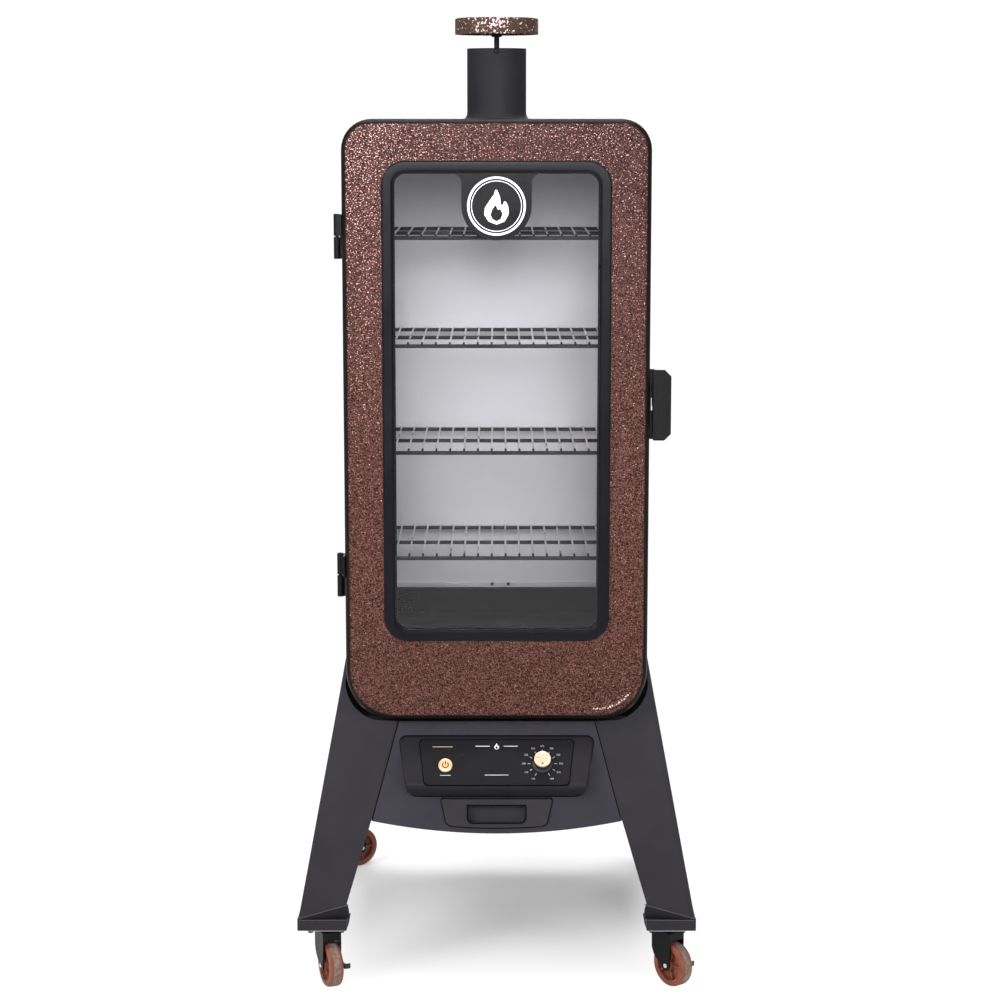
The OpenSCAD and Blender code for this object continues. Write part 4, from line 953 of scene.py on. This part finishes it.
def controls():
    verts, faces = [], []
    buried = 99
    for inset, behind in ((0, buried), (0, 5.0), (0, 3.6), (0.5, 1.9), (1.6, 0.6), (3.4, 0.0)):
        half = housing_outline(inset)
        n = len(half)
        lift = 0.3 if behind == buried else -0.02*(6 - behind)
        for x, z in half + [(-x, z) for x, z in half[-2:0:-1]]:
            verts.append((x, min(front_y(z) + lift, behind - housing_reach(z)), z))
    size = 2*n - 2
    for k in range(0, len(verts) - size, size):
        faces += [(k + i, k + (i + 1) % size, k + size + (i + 1) % size, k + size + i) for i in range(size)]
    faces.append(tuple(range(size)))
    last = len(verts) - size
    across = lambda i: i if i in (0, n - 1) else size - i
    for i in range(n - 1):
        faces.append(tuple(last + k for k in dict.fromkeys((i, i + 1, across(i + 1), across(i)))))
    housing = Solid()
    housing.add(verts, faces)
    housing.make("control_housing", panel_black, "cabinet", ["control_bezel"], angle=50)

    plate = Solid()
    low = up_face(PLATE_LOW)
    outline = fillet([(-131.5, -6.7), (-121.5, low), (121.5, low), (131.5, -6.7)], 8, 5)
    button = circle(BUTTON_X, up_face(BUTTON_Z), 12.4, 40)
    dial = circle(KNOB_X, up_face(KNOB_Z), 4, 24)
    lamp_hole = circle(-57, up_face(396.6), 2.05, 20)
    plate.plate([outline, button, dial, lamp_hole], -0.6, 1.6, 0.7, on_face, segments=2)
    plate.make("control_plate", plate_black, "cabinet", ["faceplate"])

    marks = Solid()
    centre = Vector((KNOB_X, up_face(KNOB_Z)))
    for k in range(11):
        a = radians(240 - 30*k)
        along = Vector((cos(a), sin(a)))
        across = Vector((-along.y, along.x))*0.55
        tick = [centre + along*20.2 + across, centre + along*20.2 - across, centre + along*24.6 - across*0.8,
            centre + along*24.6 + across*0.8]
        marks.prism([tuple(p) for p in tick], *PRINT, place=on_face)
        numeral(marks, str(150 + 25*k), centre + along*31.5, 4.4)
    marks.make("dial_marks", label_grey, "cabinet")

    # Painted shade: thin dark sheets in the gaps round the housing, the drawer and the plate, and along the
    # leg seams.
    shaded_gaps = Solid()
    ring = lambda inset: [(x, up_front(z)) for x, z in housing_outline(inset)]
    whole = lambda half: half + [(-x, y) for x, y in half[-2:0:-1]]
    shaded_gaps.plate([whole(ring(-1.6)), whole(ring(0.6))], 0.02, 0.5, 0.05, on_front)
    shaded_gaps.plate([drawer_outline(1.5), drawer_outline(-0.8)], 0.02, 0.27, 0.02, on_front)
    for side in (-1, 1):
        line = [(168.2, 448), (166.6, 448), (211.0, 286), (212.6, 286)]
        shaded_gaps.prism([(side*x, up_front(z)) for x, z in line], 0.02, 0.22, place=on_front)
    gap = lambda grow: fillet([(-132.2 - grow, -6 + grow), (-122 - grow, low - 1 - grow),
        (122 + grow, low - 1 - grow), (132.2 + grow, -6 + grow)], 8, 5)
    shaded_gaps.plate([gap(0.9), gap(-1.2)], 0.02, 0.3, 0.02, on_face)
    shaded_gaps.make("panel_gap_shade", gap_shade_black, "cabinet")

    rules = Solid()
    bars = ((-24, 12, 409, 1.1, 0), (24, 12, 409, 1.1, 0), (0, 20, 367, 0.8, 0), (BUTTON_X, 9, 366.5, 0.7, 0),
        (-92, 17, 408, 1.1, 1))
    for x, half, z, thick, paint in bars:
        y = up_face(z)
        rules.prism([(x - half, y - thick/2), (x + half, y - thick/2), (x + half, y + thick/2),
            (x - half, y + thick/2)],
            *PRINT, place=on_face, paint=paint)
    flame(rules, 0, up_face(409), 0.2, *PRINT, on_face)
    rules.make("plate_rules", [label_white, gold], "cabinet")


def numeral(solid, text, centre, height):
    """Adds a printed number, centred on a point of the control face."""
    curve = bpy.data.curves.new("numeral", "FONT")
    curve.body = text
    curve.size = height
    curve.align_x = "CENTER"
    curve.align_y = "CENTER"
    curve.extrude = (PRINT[1] - PRINT[0])/2
    curve.resolution_u = 3
    part = filled(curve)
    part.transform(on_face @ Matrix.Translation((centre.x, centre.y, sum(PRINT)/2)))
    solid.absorb(part)


def knob():
    at = on_face @ Matrix.Translation((KNOB_X, up_face(KNOB_Z), 2.3))
    dial = Solid()
    dial.lathe([(3.1, 0), (16.4, 0), (17, 0.6), (16.8, 2.6), (15.4, 3.8), (14, 4.4), (13.3, 10), (12.9, 18.6),
        (3.1, 18.6)],
        48, at, closed=True)
    dial.lathe([(0, 17.8), (12.6, 17.8), (13.6, 18.4), (14, 19.4), (14, 22.4), (13.5, 23.6), (12.6, 24),
        (11.6, 23.7),
        (10.8, 23.2), (0, 23.2)], 48, at, paint=1)
    for k in range(24):
        a = 2*pi*k/24
        dial.tube([(13.1*cos(a), 13.1*sin(a), h) for h in (5.5, 6.5, 17, 18)], 0.5, 6, place=at)
    dial.lathe([(0, 23.0), (1.7, 23.0), (1.7, 23.5), (0, 23.5)], 16, at @ Matrix.Translation((0, -8.2, 0)),
        paint=2)
    dial.make("dial_knob", [plastic, gold, symbol_dark], "knob", ["temperature_knob"])

    at = on_face @ Matrix.Translation((BUTTON_X, up_face(BUTTON_Z), -8))
    press = Solid()
    press.lathe([(0, 0), (14, 0), (14, 3), (12, 3), (12, 11.2), (11.6, 12), (10.8, 12.5), (9.9, 12.3),
        (9.4, 11.6)], 48, at)
    press.lathe([(0, 11.0), (9.3, 11.0), (9.3, 11.9), (8.6, 12.15), (0, 12.3)], 48, at, paint=1)
    arc = lambda radius, angles: [(radius*cos(radians(a)), radius*sin(radians(a))) for a in angles]
    ring = arc(5.9, range(125, 416, 10)) + arc(4.0, range(415, 124, -10))
    press.prism(ring, 12.2, 12.45, place=at, paint=2)
    press.prism([(-1.0, 0.6), (1.0, 0.6), (1.0, 7.0), (-1.0, 7.0)], 12.2, 12.45, place=at, paint=2)
    press.make("power_press", [gold, cream, symbol_dark], "button", ["power_button"])


def drawer_outline(grow=0.0):
    """Ash drawer front on the apron's slope, with a slack curve along its bottom."""
    points = [(-95, 321.4), (-85.5, 281.5), (-77, 276.6), (-40, 274.6), (0, 273.9), (40, 274.6), (77, 276.6),
        (85.5, 281.5), (95, 321.4)]
    middle = 298
    return fillet([(x*(1 + grow/90), up_front(z + (z - middle)*grow/24)) for x, z in points],
        [4, 6, 8, 60, 60, 60, 8, 6, 4], 4)


def drawer():
    front = Solid()
    z_top, z_low = up_front(310), up_front(282)
    pull = lambda grow: fillet([(-49 - grow, z_top + grow), (-49 - grow, z_low - grow + 6),
        (-43 - grow*0.5, z_low - grow),
        (43 + grow*0.5, z_low - grow), (49 + grow, z_low - grow + 6), (49 + grow, z_top + grow)],
        [2, 12, 6, 6, 12, 2], 5)
    front.plate([drawer_outline(), pull(0)], 0.3, 5.3, 1.6, on_front, segments=3)
    cup = lambda grow, h: [(x, y, h) for x, y in pull(grow)]
    front.rings([cup(-5, -9.2), cup(-2, -8.4), cup(-1.2, -5), cup(-1.0, 3.6), cup(0.4, 3.8), cup(0.3, -6),
        cup(-1, -10.4),
        cup(-4.5, -10.8)], place=on_front)
    # A dark ring round the pull's lip: painted shade under the lip.
    front.rings([cup(-0.4, 2.6), cup(-0.4, 5.2), cup(0.2, 5.6), cup(1.6, 5.6), cup(2.0, 5.2), cup(2.0, 2.6)],
        closed=True, place=on_front, paint=1)
    wall = lambda inset, z: [(x, y, z) for x,
        y in panel(77 - inset, -306 + inset, -120 - inset, 3, 3, steps=4)]
    front.rings([wall(1.5, 279.5), wall(1.5, 315.2), wall(0.8, 316), wall(0, 315.2), wall(0, 278.4),
        wall(0.8, 278)])
    front.make("drawer_front", [drawer_grey, gap_shade_black], "drawer", ["ash_drawer"])


# ---- Casters ----

def casters():
    spots = {"front_left": (-1, -1, 22), "front_right": (1, -1, 39), "rear_left": (-1, 1, 57),
        "rear_right": (1, 1, 18)}
    for name, (side, end, heading) in spots.items():
        place = Matrix.Translation((side*CASTER_X, end*CASTER_Y,
            0)) @ Matrix.Rotation(radians(end*(90 - heading)), 4, "Z")
        braked = end < 0
        reach = 9.2 if braked else 6
        fork = Solid()
        fork.lathe([(5.1, 93.6), (17, 93.5), (19.6, 94.2), (20, 95.4), (19.2, 96.3), (5.1, 96.3)], 36, place,
            closed=True)
        fork.box((0, -16.5, 93.5), (27, 16.5, 96.2), bevel=1.0, place=place)
        cheek = fillet([(-19, 95.2), (-18.5, 62), (-13, 50), (TRAIL - 5, AXLE - 10), (TRAIL + 4.5, AXLE - 10),
            (TRAIL + 8.0, AXLE), (27, 76), (27, 95.2)], [1, 5, 8, 5, 5, 6, 8, 1], 4)
        for low, high in ((14, 16.5), (-16.5, -14)):
            fork.slab(cheek, low, high, bevel=0.7, place=place)
        for x in (-19, 24.5):
            fork.box((x, -15, 81), (x + 2.5, 15, 95), bevel=0.8, place=place)
        along = axes((TRAIL, 0, AXLE), (1, 0, 0), (0, 0, 1))
        fork.lathe([(0, -14 - reach), (3.4, -14 - reach), (4, -13.4 - reach), (4, 18.6), (3.4, 19.2),
            (0, 19.2)], 24,
            place @ along, paint=1)
        hexagon = circle(0, 0, 3.4, 6)
        fork.prism(hexagon, 16.6, 18.4, bevel=0.6, place=place @ along, paint=1)
        fork.prism(hexagon, -13.5 - reach, -10.6 - reach, bevel=0.6, place=place @ along)
        fork.make(name + "_yoke", [fork_black, silver], name + "_caster", [name + "_fork"])

        wheel = Solid()
        tyre = [(27, -12), (33.5, -12), (35.6, -11.4), (37.2, -9.6), (37.9, -7)]
        wheel.lathe([(10, -5), (10, -12.6), (9.4, -13.4), (4.05, -13.5), (4.05, 13.5), (9.4, 13.4),
            (10, 12.6), (10, 5),
            (25.5, 4.2), (26.4, 5.6), (26.8, 11.4), (27.6, 12)] + [(a, -h) for a,
            h in tyre[1:]] + [(37.9, -7)] + tyre[:0:-1]
            + [(27.6, -12), (26.8, -11.4), (26.4, -5.6), (25.5, -4.2)], 64, place @ along, closed=True)
        for k in range(5):
            spin = Matrix.Rotation(2*pi*k/5, 4, "Z")
            wheel.box((8, -1.6, -9.5), (26.6, 1.6, 9.5), bevel=0.8, place=place @ along @ spin)
        wheel.lathe([(37.6, -6.6), (38, -5.9), (38, 5.9), (37.6, 6.6), (36, 6.6), (36, -6.6)], 64,
            place @ along, closed=True, paint=1)
        wheel.make(name + "_tyre", [rust, tread], name + "_roller", [name + "_wheel"], angle=35)

        if braked:
            which = name.split("_")[1]
            lever = Solid()
            at = place @ Matrix.Translation((TRAIL, 0, AXLE))
            turned = at @ axes((0, 16.8, 0), (-1, 0, 0), (0, 0, 1))
            lever.lathe([(4.1, 0), (7.4, 0), (8, 0.6), (8, 2), (7.4, 2.5), (4.1, 2.5)], 24, turned,
                closed=True)
            lever.box((3, 16.8, -4), (24, 19.3, 5), bevel=0.9, place=at)
            lever.box((20.6, 16.8, -4), (24, 27.8, 5), bevel=1.2, place=at)
            lever.make(which + "_brake_pedal", plastic, which + "_brake", [which + "_brake_lever"])

    plates = Solid()
    half = 32
    at = Matrix.Translation((CASTER_X, -CASTER_Y, 0))
    for mirror in corners():
        plates.box((CASTER_X - half, -CASTER_Y - half, 101), (CASTER_X + half, -CASTER_Y + half, 104),
            bevel=0.8,
            mirror=mirror)
        plates.lathe([(0, 89.8), (7.6, 90), (9, 91.4), (9, 93.2), (5, 93.2), (5, 96.7), (18, 96.7),
            (21, 98.2), (21, 101), (0, 101)],
            36, at, mirror=mirror)
    plates.make("caster_tops", zinc, "cabinet", ["caster_plates"])


# ---- Studio ----

def studio():
    ground = bpy.data.meshes.new("ground")
    reach = 14
    ground.from_pydata([(-reach, -reach, 0), (reach, -reach, 0), (reach, reach, 0), (-reach, reach, 0)], [],
        [(0, 1, 2, 3)])
    floor = bpy.data.objects.new("ground", ground)
    scene.collection.objects.link(floor)
    pale = Look("floor_pale", (0.92, 0.92, 0.92), 0.8, specular=0.1)
    white = 1.05
    glow = pale.add("ShaderNodeEmission", {"Color": (1, 1, 1, 1), "Strength": white})
    centred = pale.add("ShaderNodeVectorMath", {0: pale.stretched((0.55, 1.6, 0.0)), 1: (0.0, 0.24, 0.0)},
        operation="SUBTRACT").outputs[0]
    away = pale.add("ShaderNodeVectorMath", {0: centred}, operation="LENGTH").outputs["Value"]
    seen = pale.math("MULTIPLY", pale.span(away, 0.12, 0.82),
        pale.add("ShaderNodeLightPath").outputs["Is Camera Ray"])
    sweep = pale.add("ShaderNodeMixShader", {0: seen, 1: pale.shader.outputs[0], 2: glow.outputs[0]})
    pale.tree.links.new(sweep.outputs[0], pale.tree.nodes["Material Output"].inputs["Surface"])
    ground.materials.append(pale.mat)

    world = bpy.data.worlds.new("studio")
    scene.world = world
    world.use_nodes = True
    nodes, links = world.node_tree.nodes, world.node_tree.links
    shown = nodes.new("ShaderNodeBackground")
    shown.inputs["Color"].default_value = (1, 1, 1, 1)
    shown.inputs["Strength"].default_value = white
    lit = nodes["Background"]
    lit.inputs["Color"].default_value = (1.0, 1.0, 1.0, 1)
    lit.inputs["Strength"].default_value = 0.38
    path = nodes.new("ShaderNodeLightPath")
    mix = nodes.new("ShaderNodeMixShader")
    links.new(path.outputs["Is Camera Ray"], mix.inputs[0])
    links.new(lit.outputs[0], mix.inputs[1])
    links.new(shown.outputs[0], mix.inputs[2])
    links.new(mix.outputs[0], nodes["World Output"].inputs["Surface"])

    def softbox(name, spot, aim, size, power, spread=180):
        data = bpy.data.lights.new(name, "AREA")
        data.shape = "RECTANGLE"
        data.size, data.size_y = size
        data.energy = power
        data.spread = radians(spread)
        light = bpy.data.objects.new(name, data)
        light.location = spot
        light.rotation_euler = (Vector(aim) - Vector(spot)).to_track_quat("-Z", "Y").to_euler()
        scene.collection.objects.link(light)

    softbox("key", (-3.0, -2.8, 2.7), (0, -0.2, 1.0), (1.6, 1.8), 110)
    softbox("front", (0.0, -2.9, 2.05), (0, 0.1, 1.18), (1.7, 1.1), 10.5, 40)
    softbox("fill", (2.8, -3.2, 2.0), (0, -0.2, 0.9), (1.8, 2.2), 40)
    softbox("top", (0, 0.05, 4.6), (0, 0, 0), (3.0, 3.0), 220)
    softbox("rear", (0.5, 4.2, 2.8), (0, 0, 0.8), (3.0, 2.0), 80)

    camera = bpy.data.objects.new("camera", bpy.data.cameras.new("camera"))
    camera.data.lens = 88.2
    camera.data.sensor_width = 36
    camera.location = (0.0057, -4.344, 1.489)
    camera.rotation_euler = (radians(90 - 9.2), 0, 0)
    scene.collection.objects.link(camera)
    scene.camera = camera
    scene.view_settings.view_transform = "Standard"
    scene.view_settings.look = "None"


cabinet()
plain_nodes()
rivets()
racks()
pan()
door()
badge()
handle()
stack()
stand()
controls()
knob()
drawer()
casters()
fasteners()
studio()
